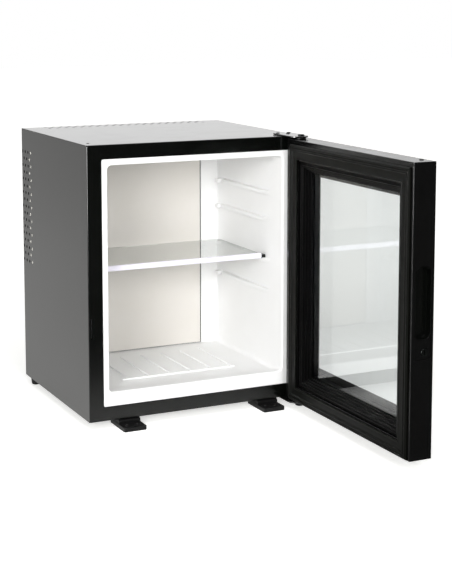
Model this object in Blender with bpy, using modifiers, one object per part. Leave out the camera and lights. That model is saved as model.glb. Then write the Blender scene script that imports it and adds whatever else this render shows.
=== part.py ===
"""Glass door minibar fridge, shown with its door standing open square to the cabinet.

Units are metres and +Z is up. Every piece is drawn in cabinet coordinates with the door shut:
X runs right from the cabinet's left side, Y runs back from its front face and Z runs up from
its underside. Each body's parent empty stands on that body's joint axis and sets its pose.
"""

import math
from collections import namedtuple

import bmesh
import bpy
from mathutils import Matrix, Vector

# Cabinet
CABINET_WIDTH = 0.412
CABINET_DEPTH = 0.358
CABINET_HEIGHT = 0.480
GROUND_CLEARANCE = 0.015
SHEET = 0.001
FIT_GAP = 0.0003
PANEL_RETURN = 0.014

# Cutting tools run past the faces that they open, and joined pieces share no plane.
CUT_OVERRUN = 0.010
JOIN_STEP = 0.0001
ROUND_SIDES = 24
SMALL_ROUND_SIDES = 16

# Front frame, the black surround of the opening
FACIA_SIDE_BAND = 0.0265
FACIA_END_BAND = 0.025
FACIA_THICKNESS = 0.002
FACIA_SKIRT_WALL = 0.0014
FACIA_SKIRT_DEPTH = 0.008
FACIA_EDGE_RADIUS = 0.0007
FACIA_OPENING_RADIUS = 0.003

# Moulded inner liner
CAVITY_SIDE_MARGIN = 0.038
CAVITY_TOP_MARGIN = 0.036
FLOOR_HEIGHT = 0.045
CAVITY_RADIUS = 0.008
CAVITY_BACK_RADIUS = 0.0015
LINER_WALL = 0.0025
LINER_FLANGE_INSET = 0.008
LIP_HEIGHT = 0.004
LIP_WIDTH = 0.008
LIP_SLOPE = 0.018
RAIL_DROPS = (0.0690, 0.1190, 0.1953, 0.2520)
SHELF_RAIL_INDEX = 2
RAIL_HEIGHT = 0.008
RAIL_REACH = 0.008
RAIL_END_RADIUS = 0.003
RAIL_FRONT = 0.047
RAIL_BACK_MARGIN = 0.0323
RAIL_STOP_GAP = 0.006
RAIL_STOP_LENGTH = 0.012
RAIL_STOP_REACH = 0.012
FLOOR_RIB_COUNT = 6
FLOOR_RIB_MARGIN = 0.069
FLOOR_RIB_PITCH = 0.0412
FLOOR_RIB_WIDTH = 0.0035
FLOOR_RIB_HEIGHT = 0.0025
FLOOR_RIB_FRONT = 0.080
FLOOR_RIB_BACK_MARGIN = 0.0463
CROSS_RIB_DEPTH = 0.008
CROSS_RIB_HEIGHT = 0.00225
CROSS_RIB_OVERHANG = 0.014

# Insulation and the vented space behind it
FOAM_BACK_WALL = 0.0397
VENT_DIAMETER = 0.006
VENT_SIDES = 8
SIDE_VENT_ROWS = 17
SIDE_VENT_ROW_PITCH = 0.013
SIDE_VENT_TOP_DROP = 0.043
SIDE_VENT_COLUMNS = 4
VENT_COLUMN_PITCH = 0.016
VENT_EDGE_MARGIN = 0.006
TOP_VENT_ROWS = 3
TOP_VENT_COLUMNS = 21
GRILLE_SLOT_WIDTH = 0.0045
GRILLE_SLOT_PITCH = 0.008
GRILLE_RADIUS = 0.046
INTAKE_SLOT_COUNT = 9
INTAKE_SLOT_LENGTH = 0.030
INTAKE_SLOT_BOTTOM = 0.100
BASE_SLOT_COUNT = 14
BASE_SLOT_LENGTH = 0.024
BASE_SLOT_PITCH = 0.020
COVER_INSET = 0.0005

# Thermoelectric cooling unit
COOLING_DROP = 0.150
COLD_PLATE_WIDTH = 0.258
COLD_PLATE_THICKNESS = 0.002
COLD_PLATE_END_GAP = 0.002
COLD_PLATE_EDGE = 0.0005
COLD_BLOCK_SIZE = 0.050
COLD_BLOCK_EDGE = 0.001
MODULE_SIZE = 0.040
MODULE_THICKNESS = 0.0037
MODULE_PLATE = 0.001
MODULE_CORE_INSET = 0.001
HEATSINK_SIZE = 0.160
HEATSINK_BASE = 0.005
FIN_COUNT = 20
FIN_THICKNESS = 0.0015
FIN_HEIGHT = 0.015
FAN_SIZE = 0.092
FAN_DEPTH = 0.015
FAN_COVER_GAP = 0.0054
FAN_CORNER_RADIUS = 0.004
FAN_BORE_DIAMETER = 0.086
FAN_HUB_DIAMETER = 0.032
FAN_HUB_EDGE = 0.002
FAN_NOSE_WALL = 0.0015
FAN_MOTOR_DIAMETER = 0.030
FAN_PLATE = 0.003
FAN_STRUT_WIDTH = 0.005
FAN_STRUT_SINK = 0.0015
FAN_SHAFT_DIAMETER = 0.004
FAN_TIP_GAP = 0.0015
FAN_ROTOR_INSET = 0.0015
FAN_SCREW_HOLE = 0.0044
FAN_SCREW_INSET = 0.005
BLADE_COUNT = 7
BLADE_ROOT_CHORD = 0.01425
BLADE_TIP_CHORD = 0.019
BLADE_CAMBER = 0.001
BLADE_SINK = 0.003
BLADE_THICKNESS = 0.0014
BLADE_ROOT_ANGLE = math.radians(24)
BLADE_TIP_ANGLE = math.radians(14)
CONTROL_BOX_WIDTH = 0.090
CONTROL_BOX_HEIGHT = 0.070
CONTROL_BOX_DEPTH = 0.030
CONTROL_BOX_SIDE_MARGIN = 0.060
CONTROL_BOX_EDGE = 0.0015
CASE_SLOT_COUNT = 6
CASE_SLOT_MARGIN = 0.015
CASE_SLOT_HEIGHT = 0.003
CASE_SLOT_DEPTH = 0.001
CABLE_RADIUS = 0.0015
CABLE_GROOVE = 0.006
CABLE_STUB = 0.008
CABLE_INSET = 0.012
GLAND_X = 0.330
GLAND_Z = 0.040
GLAND_DIAMETER = 0.014
GLAND_BORE = 0.0075
GLAND_FLANGE = 0.003
GLAND_EDGE = 0.0005

# Feet and front brackets
BRACKET_WIDTH = 0.042
BRACKET_SIDE_MARGIN = 0.052
BRACKET_RIGHT_MARGIN = 0.048
BRACKET_REACH = 0.030
BRACKET_TAIL = 0.040
BRACKET_PLATE = 0.007
BRACKET_NOSE_RADIUS = 0.004
BRACKET_TAIL_RADIUS = 0.001
BRACKET_RISER_FRONT = 0.002
BRACKET_RISER_SLOPE = 0.004
BRACKET_RISER_DROP = 0.003
BRACKET_RISER_INSET = 0.001
BRACKET_HOLE = 0.0046
BRACKET_HOLE_PITCH = 0.020
BRACKET_HOLE_REACH = 0.012
REAR_FOOT_TOP = 0.022
REAR_FOOT_BOTTOM = 0.017
REAR_FOOT_SIDE = 0.014
REAR_FOOT_FROM_BACK = 0.023

# Hinges
PIN_FROM_SIDE = 0.016
PIN_DIAMETER = 0.008
HINGE_PLATE_THICKNESS = 0.0025
HINGE_PLATE_WIDTH = 0.036
HINGE_PLATE_SIDE = 0.004
HINGE_PLATE_TAIL = 0.038
HINGE_PLATE_RADIUS = 0.003
HINGE_NOSE_FLAT = 0.0001
PIN_EDGE = 0.001
UPPER_PIN_HEAD = 0.012
UPPER_PIN_HEAD_HEIGHT = 0.002
LOWER_PIN_CAP = 0.016
LOWER_PIN_CAP_HEIGHT = 0.0079
PIN_ENGAGEMENT = 0.014
BUSHING_DIAMETER = 0.0134
BUSHING_FLANGE = 0.018
BUSHING_LENGTH = 0.016

# Door, shut against the cabinet
DOOR_SIDE_INSET = 0.0005
DOOR_TOP_GAP = 0.003
DOOR_BOTTOM_GAP = 0.004
DOOR_THICKNESS = 0.041
DOOR_STANDOFF = 0.005
DOOR_HINGE_RADIUS = 0.004
DOOR_FREE_RADIUS = 0.001
DOOR_OPEN_ANGLE = math.radians(90)
FRONT_LIP = 0.0025
PANE = 0.004
PANE_SPACING = 0.012
REVEAL_HINGE_MARGIN = 0.0415
REVEAL_FREE_MARGIN = 0.037
REVEAL_TOP_MARGIN = 0.036
REVEAL_BOTTOM_MARGIN = 0.028
REVEAL_DEPTH = 0.008
REVEAL_STEP = 0.018
PANE_OVERLAP = 0.006
SPACER_WIDTH = 0.008
SPACER_INSET = 0.001
GASKET_HINGE_MARGIN = 0.016
GASKET_FREE_MARGIN = 0.007
GASKET_TOP_MARGIN = 0.0085
GASKET_BOTTOM_MARGIN = 0.001
GASKET_LAND = 0.0005
GASKET_WIDTH = 0.025
GASKET_RIDGE_COUNT = 3
GASKET_RIDGE_PITCH = 0.0050
GASKET_RIDGE_CREST = 0.0018
GASKET_RIDGE_SLOPE = 0.0008
GASKET_GROOVE = 0.0011
GASKET_BAND_DROP = 0.0027
GASKET_BEAD_WIDTH = 0.0016
GASKET_BEAD_RISE = 0.0008
GLASS_TRIM_THICKNESS = 0.003
GLASS_TRIM_RIB_INSET = 0.006
GLASS_TRIM_RIB_CREST = 0.0018
GLASS_TRIM_RIB_SLOPE = 0.001
GLASS_TRIM_RIB_RISE = 0.002
GLASS_TRIM_EDGE = 0.002
GLASS_TRIM_SKIRT = 0.002
PLUG_DIAMETER = 0.008
PLUG_FROM_FREE_EDGE = 0.0246
PLUG_FROM_BACK = 0.0294
PLUG_DEPTH = 0.004
PLUG_LAP = 0.001
PLUG_CROWN = 0.0010
PLUG_RIM = 0.0008

# Finger grip and lock in the door's free edge
GRIP_BOTTOM = 0.193
GRIP_HEIGHT = 0.117
GRIP_DEPTH = 0.014
GRIP_WALL = 0.0015
GRIP_FROM_BACK = 0.0055
GRIP_WIDTH = 0.031
GRIP_RADIUS = 0.012
LOCK_HEIGHT = 0.173
LOCK_FROM_BACK = 0.0255
LOCK_RECESS_DEPTH = 0.0015
LOCK_RECESS_BOTTOM = 0.162
LOCK_RECESS_RADIUS = 0.004
LOCK_FACE_DEPTH = 0.0005
LOCK_DISC_DIAMETER = 0.0134
LOCK_DISC_THICKNESS = 0.0031
LOCK_DISC_EDGE = 0.0005
LOCK_SHAFT_DIAMETER = 0.006
LOCK_SHAFT_LENGTH = 0.008
CAM_THICKNESS = 0.0016
CAM_HUB = 0.0055
CAM_ARM_WIDTH = 0.007
CAM_LENGTH = 0.037
CAM_HOOK_RISE = 0.008
CAM_HOOK_WIDTH = 0.0035
CAM_WAIST = 0.002
CAM_HUB_RADIUS = 0.0045
CAM_CORNER_RADIUS = 0.001
CAM_TIP_RADIUS = 0.0015
CAM_HOOK_RADIUS = 0.0005
CAM_CLEARANCE = 0.001
KEYHOLE_WIDTH = 0.0015
KEYHOLE_LENGTH = 0.008
KEYHOLE_DEPTH = 0.0015
KEEPER_WALL = 0.0008
KEEPER_SIDE_GAP = 0.0006

# Glass shelf
SHELF_FRONT = 0.0725
SHELF_BACK_MARGIN = 0.0123
SHELF_SIDE_GAP = 0.0013
SHELF_GLASS = 0.004
SHELF_GLASS_EDGE = 0.0006
TRIM_REACH = 0.0045
TRIM_GRIP = 0.0075
TRIM_LIP = 0.0012
TRIM_TOP = 0.0037
TRIM_DEPTH = 0.008
TRIM_EDGE = 0.0015
TRIM_RAIL_GAP = 0.001
END_CLIP_WIDTH = 0.011
END_CLIP_OVERLAP = 0.002
END_CLIP_EDGE = 0.0005

# Values worked out from the ones above
CENTRE_X = CABINET_WIDTH / 2
PANEL_FRONT = FACIA_THICKNESS + FIT_GAP
COVER_FRONT = CABINET_DEPTH - SHEET
PANEL_BACK = COVER_FRONT - FIT_GAP
PANEL_TOP = CABINET_HEIGHT - SHEET - FIT_GAP
INNER_SIDE = SHEET + FIT_GAP
CAVITY_LEFT = CAVITY_SIDE_MARGIN
CAVITY_RIGHT = CABINET_WIDTH - CAVITY_SIDE_MARGIN
CAVITY_TOP = CABINET_HEIGHT - CAVITY_TOP_MARGIN
FOAM_FRONT = FACIA_SKIRT_DEPTH + FIT_GAP
COOLING_Z = CABINET_HEIGHT - COOLING_DROP
FAN_BACK = COVER_FRONT - FAN_COVER_GAP
FAN_FRONT = FAN_BACK - FAN_DEPTH
ROTOR_FRONT = FAN_FRONT + FAN_ROTOR_INSET
HEATSINK_FRONT = FAN_FRONT - FIT_GAP - FIN_HEIGHT - HEATSINK_BASE
FOAM_BACK = HEATSINK_FRONT - FIT_GAP
CAVITY_DEPTH = FOAM_BACK - FOAM_BACK_WALL
RAIL_BACK = CAVITY_DEPTH - RAIL_BACK_MARGIN
FIRST_RIB_X = CAVITY_LEFT + FLOOR_RIB_MARGIN
FLOOR_RIB_BACK = CAVITY_DEPTH - FLOOR_RIB_BACK_MARGIN
PIN_X = CABINET_WIDTH - PIN_FROM_SIDE
PIN_Y = -(DOOR_STANDOFF + DOOR_THICKNESS / 2)
DOOR_LEFT = DOOR_SIDE_INSET
DOOR_RIGHT = CABINET_WIDTH - DOOR_SIDE_INSET
DOOR_BOTTOM = DOOR_BOTTOM_GAP
DOOR_TOP = CABINET_HEIGHT - DOOR_TOP_GAP
DOOR_BACK = -DOOR_STANDOFF
DOOR_FRONT = DOOR_BACK - DOOR_THICKNESS
REVEAL_LOW = (DOOR_LEFT + REVEAL_FREE_MARGIN, DOOR_BOTTOM + REVEAL_BOTTOM_MARGIN)
REVEAL_HIGH = (DOOR_RIGHT - REVEAL_HINGE_MARGIN, DOOR_TOP - REVEAL_TOP_MARGIN)
OUTER_PANE_BACK = DOOR_FRONT + PANE
INNER_PANE_FRONT = OUTER_PANE_BACK + PANE_SPACING
INNER_PANE_BACK = INNER_PANE_FRONT + PANE
LOCK_X = DOOR_LEFT + LOCK_FACE_DEPTH
LOCK_Y = DOOR_BACK - LOCK_FROM_BACK
LOCK_Z = DOOR_BOTTOM + LOCK_HEIGHT
CAM_FRONT = LOCK_X + LOCK_DISC_THICKNESS + FIT_GAP
CAM_REACH = math.hypot(CAM_LENGTH, CAM_ARM_WIDTH / 2 + CAM_HOOK_RISE) + CAM_CLEARANCE
HOOK_ENTRY_Z = LOCK_Z - math.sqrt(CAM_REACH ** 2 - LOCK_Y ** 2) - CAM_CLEARANCE
SHELF_RAIL_TOP = CAVITY_TOP - RAIL_DROPS[SHELF_RAIL_INDEX]
SHELF_BOTTOM = SHELF_RAIL_TOP + FIT_GAP
SHELF_TOP = SHELF_BOTTOM + SHELF_GLASS
SHELF_LEFT = CAVITY_LEFT + SHELF_SIDE_GAP
SHELF_RIGHT = CAVITY_RIGHT - SHELF_SIDE_GAP
SHELF_BACK = CAVITY_DEPTH - SHELF_BACK_MARGIN

# The open door sets the part's width and length, and the origin is the middle of that footprint.
OPEN_WIDTH = max(CABINET_WIDTH, PIN_X + DOOR_THICKNESS / 2)
OPEN_REACH = PIN_X - DOOR_LEFT - PIN_Y
CABINET_CORNER = Vector((-OPEN_WIDTH / 2, (OPEN_REACH - CABINET_DEPTH) / 2, GROUND_CLEARANCE))

Body = namedtuple("Body", "empty pivot")


def new_collection(name):
    collection = bpy.data.collections.new(name)
    bpy.context.scene.collection.children.link(collection)
    return collection


for leftover in list(bpy.data.objects):
    bpy.data.objects.remove(leftover)
PARTS = new_collection("glass_door_minibar_fridge")
CUTTERS = new_collection("cutters")


def new_body(name, pivot, parent=None, turn=0.0):
    """An empty on the body's joint axis, which carries the body's pieces."""
    empty = bpy.data.objects.new(name, None)
    PARTS.objects.link(empty)
    if parent:
        empty.parent = parent.empty
        empty.location = Vector(pivot) - parent.pivot
    else:
        empty.location = CABINET_CORNER
    empty.rotation_euler.z = turn
    return Body(empty, Vector(pivot))


CABINET = new_body("cabinet_frame", (0, 0, 0))
DOOR = new_body("door_pivot", (PIN_X, PIN_Y, 0), CABINET, DOOR_OPEN_ANGLE)
LOCK = new_body("lock_pivot", (LOCK_X, LOCK_Y, LOCK_Z), DOOR)
SHELF = new_body("shelf_guide", (CENTRE_X, SHELF_FRONT, SHELF_BOTTOM), CABINET)
FAN = new_body("fan_pivot", (CENTRE_X, FAN_FRONT, COOLING_Z), CABINET)

# Turns a solid drawn along Z so that it runs along another axis.
ALONG = {
    "X": Matrix(((0, 0, 1, 0), (1, 0, 0, 0), (0, 1, 0, 0), (0, 0, 0, 1))),
    "Y": Matrix(((1, 0, 0, 0), (0, 0, -1, 0), (0, 1, 0, 0), (0, 0, 0, 1))),
    "Z": Matrix.Identity(4),
}


def add_solid(name, mesh, body):
    """Links a mesh drawn in cabinet coordinates as one solid of a body."""
    solid = bpy.data.objects.new(name, mesh)
    PARTS.objects.link(solid)
    solid.parent = body.empty
    solid.location = -body.pivot
    return solid


def mesh_from(name, shape):
    """Turns a finished bmesh into a mesh with its faces pointing out."""
    bmesh.ops.recalc_face_normals(shape, faces=shape.faces)
    mesh = bpy.data.meshes.new(name)
    shape.to_mesh(mesh)
    shape.free()
    return mesh


def blocks(name, boxes, body):
    """One mesh of separate boxes, each given by its low and high corner."""
    shape = bmesh.new()
    for low, high in boxes:
        low, high = Vector(low), Vector(high)
        size = Matrix.Diagonal((*(high - low), 1))
        bmesh.ops.create_cube(shape, size=1, matrix=Matrix.Translation((low + high) / 2) @ size)
    return add_solid(name, mesh_from(name, shape), body)


def block(name, low, high, body, bevel=0.0):
    """A box with softened edges."""
    solid = blocks(name, [(low, high)], body)
    if bevel:
        soften(solid, bevel)
    return solid


def rods(name, centres, radius, axis, start, end, body, sides=VENT_SIDES, end_radius=None):
    """One mesh of separate round bars along an axis, from start to end."""
    shape = bmesh.new()
    far_radius = radius if end_radius is None else end_radius
    for across, up in centres:
        middle = Matrix.Translation((across, up, 0))
        bmesh.ops.create_cone(shape, cap_ends=True, segments=sides, radius1=radius,
                              radius2=far_radius, depth=end - start, matrix=middle)
    bmesh.ops.transform(shape, matrix=placed_along(axis, start, end), verts=shape.verts)
    return add_solid(name, mesh_from(name, shape), body)


def placed_along(axis, start, end):
    """Moves a solid centred on Z=0 to lie from start to end along an axis."""
    step = Vector((axis == "X", axis == "Y", axis == "Z")) * (start + end) / 2
    return Matrix.Translation(step) @ ALONG[axis]


def flat_curve(name, outlines):
    """One flat curve of closed outlines with straight stretches."""
    curve = bpy.data.curves.new(name, "CURVE")
    curve.dimensions = "2D"
    for points in outlines:
        spline = curve.splines.new("POLY")
        spline.points.add(len(points) - 1)
        for point, (across, up) in zip(spline.points, points):
            point.co = (across, up, 0, 1)
        spline.use_cyclic_u = True
    return curve


def curve_solid(name, curve, matrix, body):
    """The mesh of a curve, with its caps welded and moved by a matrix."""
    holder = bpy.data.objects.new(name, curve)
    PARTS.objects.link(holder)
    seen = holder.evaluated_get(bpy.context.evaluated_depsgraph_get())
    shape = bmesh.new()
    shape.from_mesh(bpy.data.meshes.new_from_object(seen))
    bpy.data.objects.remove(holder)
    bmesh.ops.remove_doubles(shape, verts=shape.verts, dist=0.00001)
    bmesh.ops.transform(shape, matrix=matrix, verts=shape.verts)
    return add_solid(name, mesh_from(name, shape), body)


def prisms(name, outlines, axis, start, end, body):
    """Flat outlines extruded along an axis. Along X their points are (y, z), along Y (x, z)."""
    curve = flat_curve(name, outlines)
    curve.fill_mode = "BOTH"
    curve.extrude = (end - start) / 2
    return curve_solid(name, curve, placed_along(axis, start, end), body)


def prism(name, points, axis, start, end, body):
    """One flat outline extruded along an axis."""
    return prisms(name, [points], axis, start, end, body)


def frame_ring(name, low, high, section, body):
    """A section of (inset, y) points swept round an upright rectangle, with mitred corners."""
    corners = [low, (high[0], low[1]), high, (low[0], high[1])]
    outline = flat_curve(name, [[(inset, -y) for inset, y in section]])
    profile = bpy.data.objects.new(name + "_profile", outline)
    CUTTERS.objects.link(profile)
    path = flat_curve(name, [corners])
    path.bevel_mode = "OBJECT"
    path.bevel_object = profile
    ring = curve_solid(name, path, ALONG["Y"], body)
    bpy.data.objects.remove(profile)
    return ring


def rounded(corners, steps=4):
    """The outline through (x, y, radius) corners, with each corner turned into an arc."""
    points = []
    for index, (x, y, radius) in enumerate(corners):
        corner = Vector((x, y))
        if not radius:
            points.append((x, y))
            continue
        back = (Vector(corners[index - 1][:2]) - corner).normalized()
        ahead = (Vector(corners[(index + 1) % len(corners)][:2]) - corner).normalized()
        half = back.angle(ahead) / 2
        centre = corner + (back + ahead).normalized() * radius / math.sin(half)
        first = corner + back * radius / math.tan(half) - centre
        last = corner + ahead * radius / math.tan(half) - centre
        turn = first.angle_signed(last)
        for step in range(steps + 1):
            spoke = first.copy()
            spoke.rotate(Matrix.Rotation(-turn * step / steps, 2))
            points.append(tuple(centre + spoke))
    return points


def rounded_rectangle(low, high, radius, steps=4):
    left, bottom = low
    right, top = high
    return rounded([(left, bottom, radius), (right, bottom, radius), (right, top, radius),
                    (left, top, radius)], steps)


def turned(name, profile, centre, axis, body, steps=SMALL_ROUND_SIDES):
    """A solid turned about an axis. Its (radius, along) profile runs down the outer side."""
    shape = bmesh.new()
    ring = [shape.verts.new((radius, 0, along)) for radius, along in profile]
    for start, end in zip(ring, ring[1:]):
        shape.edges.new((start, end))
    if profile[0][0] > 0:
        shape.edges.new((ring[-1], ring[0]))
    mesh = bpy.data.meshes.new(name)
    shape.to_mesh(mesh)
    shape.free()
    solid = add_solid(name, mesh, body)
    solid.location = Vector(centre) - body.pivot
    solid.rotation_euler = {"X": (0, math.pi / 2, 0), "Y": (-math.pi / 2, 0, 0),
                            "Z": (0, 0, 0)}[axis]
    screw = solid.modifiers.new("turn", "SCREW")
    screw.steps = steps
    screw.render_steps = steps
    screw.use_merge_vertices = True
    screw.merge_threshold = 0.00001
    screw.use_smooth_shade = True
    return solid


def soften(solid, width, segments=2):
    """Rounds the solid's edges."""
    bevel = solid.modifiers.new("round_edges", "BEVEL")
    bevel.width = width
    bevel.segments = segments
    bevel.limit_method = "ANGLE"


def combine(solid, tool, operation):
    """Cuts or joins a solid with a tool that stays hidden in the cutters' collection."""
    tool.name = "tool_" + tool.name
    PARTS.objects.unlink(tool)
    CUTTERS.objects.link(tool)
    tool.hide_render = True
    tool.display_type = "WIRE"
    step = solid.modifiers.new(tool.name, "BOOLEAN")
    step.operation = operation
    step.solver = "EXACT"
    step.object = tool


def cut(solid, tool):
    combine(solid, tool, "DIFFERENCE")


def join(solid, tool):
    combine(solid, tool, "UNION")


def finish(solid, colour, roughness, metallic=0.0, alpha=1.0):
    """Gives the solid its own material from a linear colour."""
    material = bpy.data.materials.new(solid.name)
    material.use_nodes = True
    shader = material.node_tree.nodes["Principled BSDF"]
    shader.inputs["Base Color"].default_value = (*colour, 1)
    shader.inputs["Roughness"].default_value = roughness
    shader.inputs["Metallic"].default_value = metallic
    shader.inputs["Alpha"].default_value = alpha
    solid.data.materials.append(material)


def mirrored_x(x, side):
    """A distance from the left side, or the same distance from the right side."""
    return x if side == "left" else CABINET_WIDTH - x


def make_front_frame():
    """The black surround, with a skirt inside the panels and a slot for the lock's hook."""
    facia = block("front_frame", (0, 0, 0), (CABINET_WIDTH, FACIA_THICKNESS, CABINET_HEIGHT),
                  CABINET, bevel=FACIA_EDGE_RADIUS)
    skirt_in = INNER_SIDE + FACIA_SKIRT_WALL
    skirt_front = FACIA_THICKNESS / 2
    skirt = frame_ring("facia_skirt", (0, 0), (CABINET_WIDTH, CABINET_HEIGHT),
                       [(INNER_SIDE, skirt_front), (skirt_in, skirt_front),
                        (skirt_in, FACIA_SKIRT_DEPTH), (INNER_SIDE, FACIA_SKIRT_DEPTH)], CABINET)
    join(facia, skirt)
    outline = rounded_rectangle((FACIA_SIDE_BAND, FACIA_END_BAND),
                                (CABINET_WIDTH - FACIA_SIDE_BAND, CABINET_HEIGHT - FACIA_END_BAND),
                                FACIA_OPENING_RADIUS)
    cut(facia, prism("facia_opening", outline, "Y", -CUT_OVERRUN, 2 * CUT_OVERRUN, CABINET))
    cut(facia, block("hook_slot", (CAM_FRONT - KEEPER_SIDE_GAP, -CUT_OVERRUN, HOOK_ENTRY_Z),
                     (CAM_FRONT + CAM_THICKNESS + KEEPER_SIDE_GAP, CUT_OVERRUN,
                      LOCK_Z + CAM_ARM_WIDTH / 2 + CAM_CLEARANCE), CABINET))
    finish(facia, (0.006, 0.006, 0.006), 0.35)


def make_inner_liner():
    """The white moulded liner, with its flange, shelf rails, floor ribs and sill."""
    inset = LINER_FLANGE_INSET
    liner = block("inner_liner", (inset, PANEL_FRONT, inset),
                  (CABINET_WIDTH - inset, PANEL_FRONT + LINER_WALL, CABINET_HEIGHT - inset),
                  CABINET)
    shell = block("liner_shell", (CAVITY_LEFT - LINER_WALL, PANEL_FRONT + LINER_WALL / 2,
                                  FLOOR_HEIGHT - LINER_WALL),
                  (CAVITY_RIGHT + LINER_WALL, CAVITY_DEPTH + LINER_WALL, CAVITY_TOP + LINER_WALL),
                  CABINET)
    join(liner, shell)
    outline = rounded_rectangle((CAVITY_LEFT, FLOOR_HEIGHT), (CAVITY_RIGHT, CAVITY_TOP),
                                CAVITY_RADIUS)
    cavity = prism("liner_cavity", outline, "Y", -CUT_OVERRUN, CAVITY_DEPTH, CABINET)
    soften(cavity, CAVITY_BACK_RADIUS, segments=1)
    cut(liner, cavity)
    for side in ("left", "right"):
        join(liner, rails(side, RAIL_FRONT, RAIL_BACK, RAIL_REACH, 2))
        stop = RAIL_BACK + RAIL_STOP_GAP
        join(liner, rails(side, stop, stop + RAIL_STOP_LENGTH, RAIL_STOP_REACH, 1))
    join(liner, floor_ribs())
    join(liner, cross_rib())
    join(liner, sill())
    cut(liner, cooling_window("liner_window", CAVITY_DEPTH - CUT_OVERRUN, CAVITY_DEPTH + CUT_OVERRUN))
    finish(liner, (0.88, 0.88, 0.88), 0.4)


def rails(side, front, back, reach, steps):
    """Raised rails or stops on one side wall, at every shelf height and round at their ends."""
    outlines = []
    for drop in RAIL_DROPS:
        top = CAVITY_TOP - drop
        outlines.append(rounded_rectangle((front, top - RAIL_HEIGHT), (back, top), RAIL_END_RADIUS,
                                          steps))
    edges = sorted(mirrored_x(CAVITY_LEFT + x, side) for x in (-LINER_WALL / 2, reach))
    return prisms("rails_" + side, outlines, "X", *edges, CABINET)


def floor_ribs():
    """The ribs that run front to back on the floor."""
    bottom = FLOOR_HEIGHT - LINER_WALL / 2
    top = FLOOR_HEIGHT + FLOOR_RIB_HEIGHT
    boxes = []
    for index in range(FLOOR_RIB_COUNT):
        left = FIRST_RIB_X + index * FLOOR_RIB_PITCH - FLOOR_RIB_WIDTH / 2
        boxes.append(((left, FLOOR_RIB_FRONT + CROSS_RIB_DEPTH / 2, bottom),
                      (left + FLOOR_RIB_WIDTH, FLOOR_RIB_BACK, top)))
    return blocks("floor_ribs", boxes, CABINET)


def cross_rib():
    """The wider rib across the front of the floor ribs."""
    last = FIRST_RIB_X + (FLOOR_RIB_COUNT - 1) * FLOOR_RIB_PITCH
    return block("cross_rib", (FIRST_RIB_X - CROSS_RIB_OVERHANG, FLOOR_RIB_FRONT,
                               FLOOR_HEIGHT - LINER_WALL / 2),
                 (last + FLOOR_RIB_WIDTH, FLOOR_RIB_FRONT + CROSS_RIB_DEPTH,
                  FLOOR_HEIGHT + CROSS_RIB_HEIGHT), CABINET)


def sill():
    """The low step at the front of the floor, with a slope behind it."""
    front = PANEL_FRONT + LINER_WALL / 4
    sunk = FLOOR_HEIGHT - LINER_WALL / 2
    top = FLOOR_HEIGHT + LIP_HEIGHT
    side_view = [(front, sunk), (front + LIP_WIDTH + LIP_SLOPE, sunk), (front + LIP_WIDTH, top),
                 (front, top)]
    return prism("sill", side_view, "X", CAVITY_LEFT - LINER_WALL / 2,
                 CAVITY_RIGHT + LINER_WALL / 2, CABINET)


def cooling_window(name, front, back):
    """The square hole that the cold block passes through."""
    half = COLD_BLOCK_SIZE / 2 + FIT_GAP
    return block(name, (CENTRE_X - half, front, COOLING_Z - half),
                 (CENTRE_X + half, back, COOLING_Z + half), CABINET)


def make_insulation():
    """The foam between the liner and the outer panels."""
    foam = block("insulation_foam", (INNER_SIDE, FOAM_FRONT, INNER_SIDE),
                 (CABINET_WIDTH - INNER_SIDE, FOAM_BACK, CABINET_HEIGHT - INNER_SIDE), CABINET)
    room = LINER_WALL + FIT_GAP
    cut(foam, block("liner_room", (CAVITY_LEFT - room, -CUT_OVERRUN, FLOOR_HEIGHT - room),
                    (CAVITY_RIGHT + room, CAVITY_DEPTH + room, CAVITY_TOP + room), CABINET))
    cut(foam, cooling_window("foam_window", CAVITY_DEPTH, FOAM_BACK + CUT_OVERRUN))
    cut(foam, block("lead_groove", (CENTRE_X - CABLE_GROOVE, FOAM_BACK - CABLE_GROOVE,
                                    COOLING_Z - HEATSINK_SIZE / 2 - 4 * CABLE_STUB),
                    (CENTRE_X + CABLE_GROOVE, FOAM_BACK + CUT_OVERRUN, COOLING_Z), CABINET))
    finish(foam, (0.75, 0.7, 0.5), 0.9)


def make_side_panel(side):
    """A steel side with a return along the back and a staggered field of vent holes."""
    plan = [(0, PANEL_FRONT), (SHEET, PANEL_FRONT), (SHEET, PANEL_BACK - SHEET),
            (PANEL_RETURN, PANEL_BACK - SHEET), (PANEL_RETURN, PANEL_BACK), (0, PANEL_BACK)]
    plan = [(mirrored_x(x, side), y) for x, y in plan]
    panel = prism("side_panel_" + side, plan, "Z", 0, PANEL_TOP, CABINET)
    holes = []
    for row in range(SIDE_VENT_ROWS):
        staggered = row % 2
        height = CABINET_HEIGHT - SIDE_VENT_TOP_DROP - row * SIDE_VENT_ROW_PITCH
        for column in range(SIDE_VENT_COLUMNS - staggered):
            from_back = VENT_EDGE_MARGIN + (column + staggered / 2) * VENT_COLUMN_PITCH
            holes.append((CABINET_DEPTH - from_back, height))
    middle = mirrored_x(SHEET / 2, side)
    cut(panel, rods("side_vents_" + side, holes, VENT_DIAMETER / 2, "X", middle - SHEET,
                    middle + SHEET, CABINET))
    finish(panel, (0.03, 0.03, 0.03), 0.4)


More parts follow.
